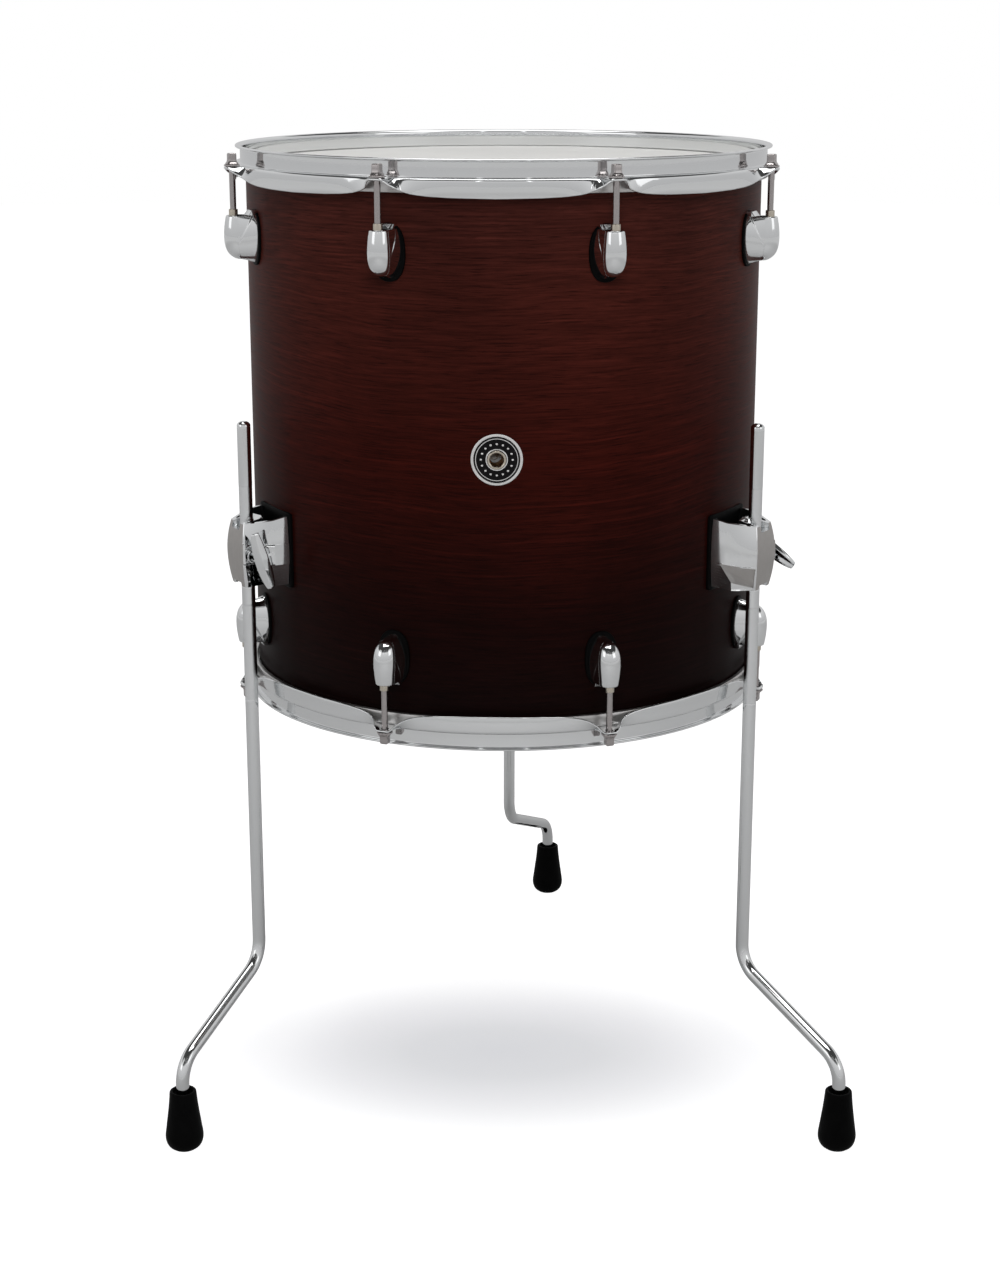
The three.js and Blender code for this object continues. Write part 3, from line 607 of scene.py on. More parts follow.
def shell_piece():
    """The shell's section turned about the axis: outer round-over, crest and inner bevel at each edge."""
    inner = SHELL_RADIUS - SHELL_WALL
    crest = SHELL_RADIUS - 2
    rows = np.linspace(SHELL_BOTTOM + 6, SHELL_TOP - 6, 25)
    outer = np.column_stack([np.full(25, SHELL_RADIUS), rows])
    top = softened([(SHELL_RADIUS, SHELL_TOP - 5.5), (SHELL_RADIUS, SHELL_TOP), (crest, SHELL_TOP),
                    (inner, SHELL_TOP - 5.5), (inner, SHELL_TOP - 9)], [2.4, 0.4, 1.2])
    wall = np.column_stack([np.full(9, inner), np.linspace(SHELL_TOP - 40, SHELL_BOTTOM + 40, 9)])
    bottom = top[::-1] * [1, -1] + [0, 2 * MIDDLE]
    profile = np.concatenate([outer, top, wall, bottom])
    points, faces = turned(profile, 288, loop=True)
    shell = piece("wood_shell", [(points + AXIS, faces)], STAINED, stands_for=["shell"])
    shell.data.materials.append(BARE)
    vent = shifted(cylinder(VENT_RADIUS + 1.2, SHELL_RADIUS - 30, SHELL_RADIUS + 20, 48), y=BADGE_MIDDLE)
    cut(shell, [moved(moved(vent, OUTWARDS), station(0))])
    centres = by_face(shell.data, "center") / MM - AXIS
    paint(shell.data, np.hypot(centres[:, 0], centres[:, 1]) < SHELL_RADIUS - 1.2)
    shell.data.update()


def head(name, film_material, slot, flip):
    """A drumhead: a film over the bearing edge with its collar turned down, and its flesh hoop.

    A small disc fills the middle of the film, which is turned as a ring.
    """
    half_film = 0.25
    disc_radius = 4
    over = SHELL_TOP + SEAT_GAP + 0.3
    path = softened([(disc_radius, over), (SHELL_RADIUS - 4, over), (SHELL_RADIUS + 0.55, over - 0.25),
                     (SHELL_RADIUS + 0.75, SHELL_TOP - 8.2)], [3, 1.5], 9)
    spread = np.column_stack([np.linspace(disc_radius, SHELL_RADIUS - 8, 12), np.full(12, over)])
    film = turned(thickened(np.concatenate([spread, path[1:]]), half_film, 5), 192, loop=True)
    disc = cylinder(disc_radius, over - half_film, over + half_film, 192)
    inner = SHELL_RADIUS + 1.2
    outer = SHELL_RADIUS + 5.4
    high = SHELL_TOP - 0.6
    low = SHELL_TOP - 9.6
    channel = rounded_loop([(inner, low), (outer - 0.5, low), (outer, low + 2.2), (outer, high), (inner, high)], 0.7, 5)
    band = turned(channel, 192, loop=True)
    for part, shells, material, part_slot in (
            ("film", [film, disc], film_material, slot),
            ("flesh_hoop", [band], ALUMINIUM, "aluminium")):
        placed = [shifted(shell, *AXIS[:2]) for shell in shells]
        if flip:
            placed = [upended(shell) for shell in placed]
        piece(f"{name}_{part}_fine", placed, material, stands_for=[f"{name}_{part}"])


def ear_shape(distance):
    """Tilt in radians and width of the flange strip, by distance along the rod circle from an ear."""
    knots = [0, 5.5, 8, 10.5, 13.5, 18, 25, 36, 52, 90]
    tilt = np.interp(distance, knots, [0, 0, 14, 38, 62, 76, 84.5, 88.5, 90, 90])
    width = np.interp(distance, knots, [14.3, 14.1, 11.4, 8.6, 8.1, 9.0, 10.3, 11.3, 12.0, 12.6])
    return np.radians(tilt), width


def hoop_rings():
    """The hoop's outline at every azimuth: lip, wall, flange and a strip that tilts into a skirt."""
    per_ear = 56
    u = np.linspace(-1, 1, per_ear, endpoint=False)
    spread = 0.35 * u + 0.65 * u ** 3
    azimuth = np.concatenate([(ear + 0.5 + spread / 2) * EAR_SPACING for ear in range(EAR_COUNT)])
    fine = np.linspace(0, 90, 901)
    smooth = np.ones(31) / 31
    tilt_fine, width_fine = ear_shape(fine)
    padded = lambda values: np.convolve(np.pad(values, 15, mode="edge"), smooth, "valid")
    distance = np.abs(np.tile(spread, EAR_COUNT)) * math.radians(EAR_SPACING / 2) * ROD_CIRCLE
    tilt = np.interp(distance, fine, padded(tilt_fine))
    width = np.interp(distance, fine, padded(width_fine)) - HOOP_SHEET / 2
    half = HOOP_SHEET / 2
    bend = np.stack([HOOP_BEND + half * np.tan(tilt / 2), FLANGE_MIDDLE + 0 * tilt], axis=-1)
    tip_out = HOOP_BEND + np.cos(tilt) * width + np.sin(tilt) * half
    tip_up = FLANGE_MIDDLE - half - np.sin(tilt) * width + np.cos(tilt) * half
    still = lambda r, z: np.broadcast_to([r, z], (len(azimuth), 2))
    corners = np.stack([
        still(HOOP_LIP, RIM_TOP - half),
        still(HOOP_WALL, RIM_TOP - half),
        still(HOOP_WALL, FLANGE_MIDDLE),
        bend,
        np.stack([tip_out, tip_up], axis=-1),
    ], axis=1)
    outline = thickened(softened(corners, [1.9, 1.7, 1.8], 8), half)
    turn = np.radians(azimuth)[:, None]
    radius = outline[..., 0]
    return np.stack([radius * np.sin(turn), -radius * np.cos(turn), outline[..., 1]], axis=-1)


def hoop_piece(name, flip):
    """A hoop with a hole for a rod through each of its ears."""
    over = upended if flip else (lambda shell: shell)
    points, faces = skin(hoop_rings(), joined=True)
    hoop = piece(f"{name}_fine", [over((points + AXIS, faces))], CHROME, stands_for=[name], crease=60)
    hole = shifted(cylinder(3.3, FLANGE_MIDDLE - 8, FLANGE_MIDDLE + 8, 32), x=ROD_CIRCLE)
    cut(hoop, [over(moved(hole, station((ear + 0.5) * EAR_SPACING))) for ear in range(EAR_COUNT)])
    smoothed(hoop.data, 50)


# Rods and lugs

def rod_shells():
    """A tension rod: shank, washer, and a flared flange that rises into a square head.

    The head's sections are superellipses whose power grows with the squareness at each height.
    """
    tip = LUG_TOP + COLLAR_HEIGHT - ROD_INSERTION
    washer_foot = EAR_TOP + SEAT_GAP
    washer_top = washer_foot + 1.2
    shank = turned(softened([(0.4, tip), (ROD_RADIUS, tip), (ROD_RADIUS, washer_top)], [0.8]), 32)
    washer = collar_ring(ROD_RADIUS - 0.4, 6, washer_foot, washer_top, 0.35, 4, 48)
    heights = washer_top + np.array([0.0, 0.25, 0.7, 1.3, 2.1, 3.0, 5.0, 7.2, 7.9, 8.3])
    radii = np.array([4.9, 5.05, 4.9, 4.3, 3.75, 3.55, 3.5, 3.5, 3.35, 2.9])
    squareness = np.array([0, 0, 0.1, 0.45, 0.85, 1, 1, 1, 1, 1.0])
    turn = full_turn(64)
    power = 2 + squareness[:, None] * 7
    square = (np.abs(np.cos(turn)) ** power + np.abs(np.sin(turn)) ** power) ** (-1 / power)
    reach = radii[:, None] * (square * (1 - 0.11 * squareness[:, None]))
    rings = np.stack([reach * np.cos(turn), reach * np.sin(turn), heights[:, None] + 0 * turn], axis=-1)
    return [shifted(shell, x=ROD_CIRCLE) for shell in (shank, washer, skin(rings))]


def lug_shells():
    """A bullet lug in three closed shells: the barrel round the rod, its flanks, and the tab on top.

    The barrel's sections are ellipses whose width and front follow tables of height. The flanks are
    sections with softened corners; beside the open end a shallow triangle is sunk between barrel and base.
    """
    share = np.array([0, 0.01, 0.03, 0.08, 0.16, 0.26, 0.38, 0.5, 0.62, 0.72, 0.8, 0.86, 0.91, 0.95, 0.98, 1])
    half = np.array([6.9, 7.3, 7.5, 7.7, 8.0, 8.35, 8.65, 8.8, 8.7, 8.35, 7.8, 7.15, 6.35, 5.4, 4.3, 2.6])
    front = np.array([22.7, 23.1, 23.3, 23.6, 24.1, 24.55, 24.9, 25.0,
                      24.75, 24.1, 23.1, 21.9, 20.4, 18.7, 17.0, 15.2])
    height = LUG_TOP + LUG_RISE - share * (LUG_HEIGHT + LUG_RISE)
    turn = full_turn(56)
    centre = (front - half)[:, None]
    rings = np.stack([SHELL_RADIUS + centre + half[:, None] * np.cos(turn),
                      half[:, None] * np.sin(turn) * np.ones((len(share), 1)),
                      height[:, None] + 0 * turn], axis=-1)
    barrel = skin(rings)
    below = np.array([1.03, 1.06, 1.08])
    share, half = np.append(share, below), np.append(half, [1.9, 1.3, 0.8])
    height = np.append(height, LUG_TOP + LUG_RISE - below * (LUG_HEIGHT + LUG_RISE))
    base = 10.9 * np.sqrt(np.clip(1 - ((share - 0.46) / 0.64) ** 2, 0, 1))
    reach = np.append(centre[:, 0], [8.0, 5.0, 3.4])
    sunk = np.clip(1 - share / 0.62, 0, 1)
    crease = reach - 0.8 - (reach - 4.8) * sunk
    side = base + (half - base) * (crease - 2.6) / (reach - 2.6)
    web = base + (half - base) * (crease - 1.6) / (reach - 2.6) - 0.45 * np.minimum(sunk * 3, 1)
    corners = np.stack([
        np.stack([0 * share - 0.6, base], axis=-1),
        np.stack([np.minimum(2.6, reach - 1.2), base], axis=-1),
        np.stack([crease, side], axis=-1),
        np.stack([crease + 1.1, web], axis=-1),
        np.stack([reach + 0.3, half + 0.03], axis=-1),
    ], axis=1)
    path = softened(corners, [1.2, 0.5, 0.5], 6)
    outline = np.concatenate([path, path[:, ::-1] * [1, -1]], axis=1)
    levels = np.broadcast_to(height[:, None, None], outline.shape[:2] + (1,))
    flanks = skin(np.concatenate([outline + [SHELL_RADIUS, 0], levels], axis=-1))
    profile = rounded_loop([(-0.6, -4.0), (8.6, -4.0), (8.0, 0.6), (4.6, 4.9), (-0.6, 4.9)], 0.5, 5)
    across = np.array([[-6.6], [-6.2], [6.2], [6.6]])
    middle = profile.mean(axis=0)
    shrunk = middle + (profile[None] - middle) * np.array([0.93, 1, 1, 0.93])[:, None, None]
    rings = np.stack([SHELL_RADIUS + shrunk[..., 0], across + 0 * shrunk[..., 0], LUG_TOP + shrunk[..., 1]], axis=-1)
    return [barrel, flanks, skin(rings)]


def plate(outline, thickness, edge):
    """A soft plate that lies on the shell, from an outline of (along, up) about its middle."""
    outline = np.asarray(outline, float)
    size = np.abs(outline).max(axis=0)
    back = 0.1
    ring = lambda out, share: np.column_stack([np.full(len(outline), out), outline * share])
    rings = [ring(back, share) for share in (0.2, 0.5, 0.8, 1)]
    for out, inset in [(thickness - edge, 0.0), (thickness - edge * 0.3, 0.3), (thickness, 1.0)]:
        rings.append(ring(out, 1 - inset * edge / size))
    rings += [ring(thickness, share) for share in (0.8, 0.5, 0.2)]
    points, faces = skin(np.stack(rings))
    return wrapped(points), faces


def oval(width, height, power, steps=72):
    """An ellipse whose cosine and sine are raised to a power, which squares it a little below 1."""
    turn = full_turn(steps)
    bend = lambda value: np.sign(value) * np.abs(value) ** power
    return np.column_stack([bend(np.cos(turn)) * width / 2, bend(np.sin(turn)) * height / 2])


def screw_shells(height, along):
    """A pan-headed screw on a washer, standing on the shell's inner wall and pointing inwards."""
    inner = SHELL_RADIUS - SHELL_WALL
    washer = turned([(0.6, 0), (6.5, 0), (6.5, 1.0), (6.2, 1.2), (0.6, 1.2)], 32)
    pan = turned(softened([(0.3, 3.6), (3.0, 3.5), (4.0, 1.2), (0.3, 1.2)], [1.2, 0.3], 6), 32)
    inwards = np.array([[0, 0, -1], [1, 0, 0], [0, 1, 0]])
    return [shifted(moved(shell, inwards), inner * math.cos(along / inner), along, height) for shell in (washer, pan)]


def end_hardware(end, flip):
    """The eight rods, collars, lugs, gaskets and inside screws of one end."""
    over = upended if flip else (lambda shell: shell)
    collar = shifted(collar_ring(ROD_RADIUS + 0.15, COLLAR_RADIUS, LUG_TOP - 2, LUG_TOP + COLLAR_HEIGHT, 0.4, 5, 40),
                     x=ROD_CIRCLE)
    gasket = shifted(plate(oval(26, 42, 0.85), 1.9, 0.6), z=LUG_MIDDLE)
    screws = screw_shells(LUG_MIDDLE + 9, 0) + screw_shells(LUG_MIDDLE - 9, 0)
    rods, lugs = rod_shells(), lug_shells()
    for i in range(EAR_COUNT):
        place = station((i + 0.5) * EAR_SPACING)
        put = lambda shells: [over(moved(shell, place)) for shell in shells]
        number = i + 1
        piece(f"rod_{end}_{number}", put(rods), ROD_STEEL, body=f"{end}_rod_{number}",
              stands_for=[f"tension_rod_{end}_{number}"])
        piece(f"lug_casting_{end}_{number}", put(lugs), CHROME, stands_for=[f"lug_{end}_{number}"], crease=50)
        piece(f"lug_gasket_{end}_{number}", put([gasket]), RUBBER)
        piece(f"lug_collar_{end}_{number}", put([collar]), NICKEL)
        piece(f"lug_screws_{end}_{number}", put(screws), ZINC)


# Badge and vent

def badge_pieces():
    """A disc of rings bent to the shell, with plain dots round it, and the eyelet through its middle."""
    radii = np.array([7.3, 7.3, 7.9, 8.1, 15.1, 15.2, 15.7, 15.8, 16.9, 17.1, 17.4, 18.5, 19, 19])
    heights = np.array([0.35, 0.75, 0.75, 0.65, 0.65, 0.85, 0.85, 0.65, 0.65, 1.0, 1.15, 1.15, 0.95, 0.35])
    enamelled = ((8.05, 15.05), (15.85, 16.95))
    dot_circle = 11.6
    turn = full_turn(128)
    rings = np.stack([heights[:, None] + 0 * turn, radii[:, None] * np.cos(turn),
                      BADGE_MIDDLE + radii[:, None] * np.sin(turn)], axis=-1)
    points, faces = skin(rings, joined=True)
    place = station(0)
    badge = piece("badge_disc", [moved((wrapped(points), faces), place)], BADGE_METAL,
                  stands_for=["vent_badge"], crease=25)
    badge.data.materials.append(ENAMEL)
    centres = by_face(badge.data, "center") / MM - AXIS - [0, 0, BADGE_MIDDLE]
    from_middle = np.hypot(centres[:, 0], centres[:, 2])
    paint(badge.data, sum((from_middle > near) & (from_middle < far) for near, far in enamelled))
    dot = turned(softened([(0.05, 0.3), (0.9, 0.3), (0.9, 0.62), (0.05, 0.95)], [0.05, 0.3], 5), 20)
    dots = []
    for angle in full_turn(16):
        points, faces = moved(dot, OUTWARDS)
        points = points + [0, dot_circle * math.cos(angle), BADGE_MIDDLE + dot_circle * math.sin(angle)]
        dots.append(moved((wrapped(points), faces), place))
    piece("badge_dots", dots, BADGE_METAL)
    face = SHELL_RADIUS + 1.6
    inside = SHELL_RADIUS - SHELL_WALL - 0.9
    tube = VENT_RADIUS + 0.9
    flange = 7.2
    profile = softened([(VENT_RADIUS, inside - 1.3), (flange, inside - 1.3), (flange, inside), (tube, inside),
                        (tube, face), (flange, face), (6.6, face + 1.3), (VENT_RADIUS, face + 0.6),
                        (VENT_RADIUS, inside - 1.2)], [0.3, 0.3, 0.2, 0.2, 0.4, 0.7, 0.5], 5)
    grommet = shifted(turned(profile, 64, loop=True), y=BADGE_MIDDLE)
    piece("vent_eyelet", [moved(moved(grommet, OUTWARDS), place)], NICKEL, stands_for=["vent_grommet"])


# Leg clamps

def bracket_sides(rise, grow=0.0):
    """Half of the casting's plan at each height: out from its back, and along.

    rise runs from -1 at the foot to 1 at the top. The sides stand square to the shell up to a crease,
    then draw in to the face. Sides, crease and face all swell as 1 - rise^2 between the two ends.
    """
    swell = 1 - rise ** 2
    back = np.stack([0 * rise - 3, 26.0 + 1.8 * swell + grow], axis=-1)
    crease = np.stack([10.6 - 0.8 * swell, 26.0 + 1.8 * swell + grow], axis=-1)
    corner = np.stack([29.0 + 2.7 * swell, 12.5 + 3.6 * swell + grow], axis=-1)
    return back, crease, corner


def bracket_heights(out, rise):
    """Heights of the casting's levels: top and foot both slope down with the distance from the shell."""
    top = 28.9 - 0.185 * out
    foot = 24.2 + 0.075 * out
    return np.where(rise > 0, rise * top, rise * foot)


def casting_block(plan, height):
    """A closed block of the casting, from the plan and the heights of its levels."""
    return skin(np.concatenate([plan + [BRACKET_BACK, 0], height[..., None]], axis=-1))


def bracket_blank():
    """The casting's block: its plan at 25 levels, with a face that is slightly domed across.

    The twisted sides are split along their length, so that no quad of theirs is far from flat.
    """
    rise = np.linspace(-1, 1, 25)
    back, crease, corner = bracket_sides(rise)
    across = np.linspace(0.9, -0.9, 7)
    dome = np.stack([corner[:, :1] + 0.7 * (1 - across ** 2), corner[:, 1:] * across], axis=-1)
    side = softened(np.stack([back, crease, corner, dome[:, 0]], axis=1), [1.6, 1.1], 5)[:, :-1]
    after_crease = 6
    start, end = side[:, after_crease - 1:after_crease], side[:, after_crease:after_crease + 1]
    between = start + (end - start) * np.linspace(0, 1, 9)[1:-1, None]
    side = np.concatenate([side[:, :after_crease], between, side[:, after_crease:]], axis=1)
    plan = np.concatenate([side, dome, side[:, ::-1] * [1, -1]], axis=1)
    return casting_block(plan, bracket_heights(plan[..., 0], rise[:, None]))


def bracket_band():
    """The raised band across the wing side."""
    half_height = 28
    rise = np.linspace(-7.6, 8.6, 9) / half_height
    back, crease, corner = bracket_sides(rise, 0.5)
    inner = np.stack([corner, back], axis=1) * [1, 0] + [0, 2]
    plan = np.concatenate([np.stack([back, crease, corner], axis=1), inner], axis=1)
    return casting_block(plan, np.broadcast_to(rise[:, None] * half_height, plan.shape[:2]))


def bracket_foot_block():
    """The lower third, where the square sides run further out before they draw in to the face."""
    rise = np.linspace(-1, -0.27, 9)
    back, crease, corner = bracket_sides(rise)
    crease = crease * [0, 1] + [15.6, 0.9]
    half = np.stack([back - [0, 0.7], crease, corner - [0.4, 0.2]], axis=1)
    plan = np.concatenate([half, half[:, ::-1] * [1, -1]], axis=1)
    return casting_block(plan, bracket_heights(plan[..., 0], rise[:, None]))


def prism(outline, near, far):
    """A cutter that runs across the bracket: an outline of (out, up) carried from near to far.

    near may be a single place or one for each corner, so that the pocket's floor can slant.
    """
    outline = np.asarray(outline, float)
    rings = [np.column_stack([outline[:, 0] + BRACKET_BACK, np.broadcast_to(place, len(outline)), outline[:, 1]])
             for place in (near, far)]
    return skin(np.stack(rings))


def bracket_cuts():
    """Channel, eye pocket, shank hole, wing nut recess, the pocket low on the other side and the hollows.

    A cutter that comes out of the casting runs through to 45 mm on that side; the channel and shank to 40.
    """
    clear = 45
    through = 40
    socket = LEG_RADIUS + SEAT_GAP
    apex = socket * math.sqrt(2)
    inner = LEG_CIRCLE - 7.9
    outer = LEG_CIRCLE + socket
    channel = lofted([(inner, -8.5), (outer, -8.5), (outer, apex - socket), (LEG_CIRCLE, apex),
                      (inner, apex - (LEG_CIRCLE - inner))], [-through, through])
    pocket = shifted(cylinder(socket + 2.3, -4.8, 4.8, 48), x=LEG_CIRCLE, y=-0.8, z=-2)
    shank = shifted(moved(cylinder(3.2, 0, through, 32), SIDEWAYS), x=LEG_CIRCLE, z=-2)
    rib = np.linspace(-9.6, 16.5, 8)
    front = np.column_stack([27.4 + 2.7 * (1 - (rib / 25) ** 2), rib])
    upper = prism(np.concatenate([[(13.6, -9.6)], front, [(23.6, 8.0), (18.2, 2.2), (14.6, -3.6)]]), 10.3, clear)
    lower = prism([(13.6, -9.5), (29.7, -9.5), (27.4, -24), (27.4, -32), (12.4, -32)],
                  [10.3, 10.3, 13.6, 15.4, 15.4], clear)
    lightening = prism([(5.2, -4.4), (30.6, -8.6), (28.2, -24.2), (15.8, -18.8)],
                       [-27.2, -14.9, -11.4, -19.4], -clear)
    behind = [(-1, -23.4), (10, -23.4), (12.6, -21), (12.6, -12), (10.2, 2),
              (12.6, 12), (12.6, 21), (10, 23.4), (-1, 23.4)]
    beside = np.array([(12.4, 9.9), (25.2, 9.9), (25.2, 12.2), (12.4, 20.6)])
    hollows = [lofted(rounded_loop(np.array(behind) + [BRACKET_BACK, 0], 0.6, 4), [9, clear])]
    hollows += [lofted(beside * [1, side] + [BRACKET_BACK, 0], [17.8, clear]) for side in (1, -1)]
    mouth = np.array([(22, -7.0), (clear, -7.0), (clear, 7.0), (22, 7.0)]) + [BRACKET_BACK, 0]
    mouths = [lofted(mouth, heights) for heights in ([18.6, clear], [-clear, -23.4])]
    return [channel, pocket, shank, upper, lower, lightening] + hollows + mouths


def bracket_finishes(mesh):
    """The finish of every face of the casting: 0 plated, 1 a duller, darker metal, 2 near-black painted shade.

    Faces are known by their centres (out from the casting's back, along, up) and their normals. The duller
    metal is on the face and the floor of the low pocket; painted shade darkens the hollow behind and the two
    beside the channel.
    """
    normals = by_face(mesh, "normal")
    out, along, up = (by_face(mesh, "center") / MM - [BRACKET_BACK, 0, 0]).T
    aside = np.abs(along)
    front_face = (normals[:, 0] > 0.93) & (out > 28.5)
    behind = out < 12.8
    hollow_wall = 23.6 - 0.8 * np.maximum(out - 10, 0)
    hollow_top = 28.2 - 0.185 * out
    # Painted shade: faces inside the hollows get the near-black metal.
    painted_hollow_shade = (out < 25.4) & (aside < hollow_wall) & (up > 8.9) & (up < hollow_top)
    painted_hollow_shade &= behind | ((aside > 9.7) & (up > 17.7))
    pocket_wall = 25.2 - 0.6 * np.maximum(out - 9.8, 0)
    pocket_floor = (along < 0) & (aside > 9) & (aside < pocket_wall) & (normals[:, 1] < -0.3)
    pocket_floor &= (out > 8) & (out < 29) & (up > -23.5) & (up < -5.5)
    return (front_face | pocket_floor) + 2 * painted_hollow_shade


def bracket_model():
    """The casting on the drum's X axis: joined, cut, bevelled and painted."""
    model = piece("bracket_model", [bracket_blank()], CHROME)
    model.data.materials.append(DULL_METAL)
    model.data.materials.append(HOLLOW_SHADE_METAL)
    cut(model, [bracket_foot_block(), bracket_band()], "UNION")
    cut(model, bracket_cuts() + [cylinder(BRACKET_BACK, -60, 60, 256)])
    bevel = model.modifiers.new("bevel", "BEVEL")
    bevel.width = 0.45 * MM
    bevel.segments = 4
    bevel.limit_method = "ANGLE"
    bevel.angle_limit = math.radians(28)
    bevel.use_clamp_overlap = True
    apply_modifiers(model)
    smoothed(model.data, 50)
    model.modifiers.new("flat faces stay flat", "WEIGHTED_NORMAL").keep_sharp = True
    apply_modifiers(model)
    paint(model.data, bracket_finishes(model.data))
    return model


def bracket_pieces():
    """The casting copied to its three places, each with a gasket and four screws."""
    model = bracket_model()
    outline = rounded_loop([(-29.4, -27.4), (29.4, -27.4), (29.4, 31.8), (-29.4, 31.8)], 4, 8)
    gasket = shifted(plate(outline, 2.3, 0.7), z=BRACKET_MIDDLE)
    screws = []
    for rise in (-17, 17):
        for along in (-13, 13):
            screws += screw_shells(BRACKET_MIDDLE + rise, along)
    for i, azimuth in enumerate(BRACKET_AZIMUTHS):
        place = station(azimuth)
        mesh = model.data.copy()
        lift = Matrix.Translation((0, 0, BRACKET_MIDDLE * MM))
        turn = Matrix([list(row[:3]) + [row[3] * MM] for row in place])
        mesh.transform(turn @ lift)
        bracket = linked(f"bracket_casting_{i + 1}", mesh)
        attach(bracket, "drum")
        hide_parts(f"leg_bracket_{i + 1}")
        piece(f"bracket_gasket_{i + 1}_fine", [moved(gasket, place)], RUBBER,
              stands_for=[f"bracket_gasket_{i + 1}"])
        piece(f"bracket_screws_{i + 1}", [moved(shell, place) for shell in screws], ZINC)
    bpy.data.objects.remove(model)


def eyebolt_shells():
    """A ring round the leg, and a shank along the bolt's axis with rings that stand for its thread."""
    inner = LEG_RADIUS + SEAT_GAP
    outer = inner + 2
    ring = collar_ring(inner, outer, -4.5, 4.5, 0.5, 4, 64)
    along = np.linspace(inner + 0.8, outer + 15, 200)
    thread = 2.75 + 0.15 * np.cos(2 * math.pi * along) * smoothstep((along - 9) / 1.5)
    return ring, moved(turned(np.column_stack([thread, along]), 32), SIDEWAYS)


def wing_shells():
    """A collar and neck along the bolt, and a long faceted blade that thins and narrows to its tips.

    The blade's section is a seven-sided loop, wide in front and hollow behind, scaled by chord and
    thickness at each place along it.
    """
    half_length = 23
    collar_foot = 10.6
    neck_top = collar_foot + 3.4 + 13.5
    profile = softened([(0.3, collar_foot), (5.9, collar_foot), (5.9, collar_foot + 3.2), (4.7, collar_foot + 3.8),
                        (4.1, collar_foot + 6), (4.4, neck_top - 1), (5.2, neck_top + 3.2), (0.3, neck_top + 3.2)],
                       [0.4, 0.5, 0.8, 1.5, 1.0, 0.5], 6)
    body = moved(turned(profile, 48), SIDEWAYS)
    place = np.concatenate([[-1.0], -np.cos(np.linspace(0.12, math.pi - 0.12, 41)), [1.0]])
    chord = 6.3 * (0.52 + 0.48 * (1 - np.abs(place) ** 2.4))
    thick = 7.6 * (0.36 + 0.64 * (1 - np.abs(place) ** 1.7))
    ends = np.clip((1 - np.abs(place)) / 0.05, 0, 1)
    shrink = 0.7 + 0.3 * np.sqrt(1 - (1 - ends) ** 2)
    section = rounded_loop([(-1, 0.34), (-0.62, 0.94), (0.3, 1.0), (1, 0.30),
                            (0.55, 0.0), (0.0, 0.22), (-0.55, 0.0)], 0.1, 5)
    across = (chord * shrink)[:, None] * section[:, 0]
    back = neck_top + 3.4 * np.abs(place) ** 2.2
    out = back[:, None] + (thick * shrink)[:, None] * section[:, 1]
    rings = np.stack([across, out, place[:, None] * half_length + 0 * across], axis=-1)
    return body, skin(rings)


def knurl(height, turn):
    """Depth of a diamond knurl: the deeper of two crossing families of vee grooves."""
    starts = 24
    depth = 0.4
    round_leg, along_leg = turn * starts / (2 * math.pi), height / KNURL_PITCH
    first, second = (np.abs(2 * np.mod(round_leg + way * along_leg, 1) - 1) for way in (1, -1))
    return depth * np.maximum(first, second)


def leg_shell():
    """A rod swept down a path of straights and arcs, with knurled stretches near the clamp.

    Path: down Z, out at the upper bend, down again at the lower bend and into the foot. Knurled stretches
    have a ring every quarter of a pitch; a few rings stand close to their ends and the rest is plain.
    """
    upper, lower = 117.0, 71.0
    slant = math.atan2(LEG_REACH, upper - lower)
    radius = 25.0
    setback = radius * math.tan(slant / 2)
    step = KNURL_PITCH / 4
    knurled = [np.arange(high, low, -step) for high, low in KNURLED]
    tip = LEG_TOP - np.array([0.0, 0.25, 0.8, 1.6, 2.6])
    tip_radius = np.array([2.2, 2.9, 3.9, 4.7, 5.25])
    beside_knurl = [511.4, 510.7, 430.3, 429, 423, 417, 416.3, 337.3, 336.5]
    plain = [np.arange(LEG_TOP - 5, 512, -6.0), beside_knurl, np.arange(330, upper + setback + 2, -8.0)]
    down = np.sort(np.concatenate(knurled + plain))[::-1]
    down = np.concatenate([tip, down])
    radii = np.concatenate([tip_radius, np.full(len(down) - len(tip), LEG_RADIUS)])
    arc = np.linspace(0, slant, 15)
    start = upper + setback
    first = np.column_stack([radius * (1 - np.cos(arc)), start - radius * np.sin(arc), arc])
    end_x, end_z = LEG_REACH - setback * math.sin(slant), lower + setback * math.cos(slant)
    back = slant - arc
    second = np.column_stack([end_x + radius * (np.cos(back) - math.cos(slant)),
                              end_z - radius * (math.sin(slant) - np.sin(back)), back])
    mid = np.linspace(first[-1], second[0], 9)[1:-1]
    foot = np.column_stack([np.full(4, float(LEG_REACH)), np.linspace(second[-1, 1] - 1, 17.5, 4), np.zeros(4)])
    straight = np.column_stack([np.zeros(len(down)), down, np.zeros(len(down))])
    path = np.concatenate([straight, first, mid, second, foot])
    radii = np.concatenate([radii, np.full(len(path) - len(radii), LEG_RADIUS)])
    turn = full_turn(96)
    x, z, slope = (path[:, k, None] for k in range(3))
    in_knurl = sum((z <= high) & (z >= low) for high, low in KNURLED) > 0
    reach = radii[:, None] - np.where(in_knurl, knurl(z, turn), 0)
    across = reach * np.cos(turn)
    rings = np.stack([x + across * np.cos(slope), reach * np.sin(turn) + 0 * x, z + across * np.sin(slope)], axis=-1)
    return skin(rings)


def foot_shell():
    """A moulded rubber foot: a cone that swells to a belly, round sole, and a recess round the leg."""
    profile = softened([(0.3, 0), (8.8, 0), (13.2, 3.2), (15.3, 9.6), (13.9, 19), (11.3, 38), (10.4, 49),
                        (8.2, 49), (7.6, 46), (5.9, 46), (5.5, 17.2), (0.3, 17.2)],
                       [0.8, 3, 4.5, 5, 7, 1.6, 0.8, 0.5, 0.3, 0.3], 8)
    return turned(profile, 72)


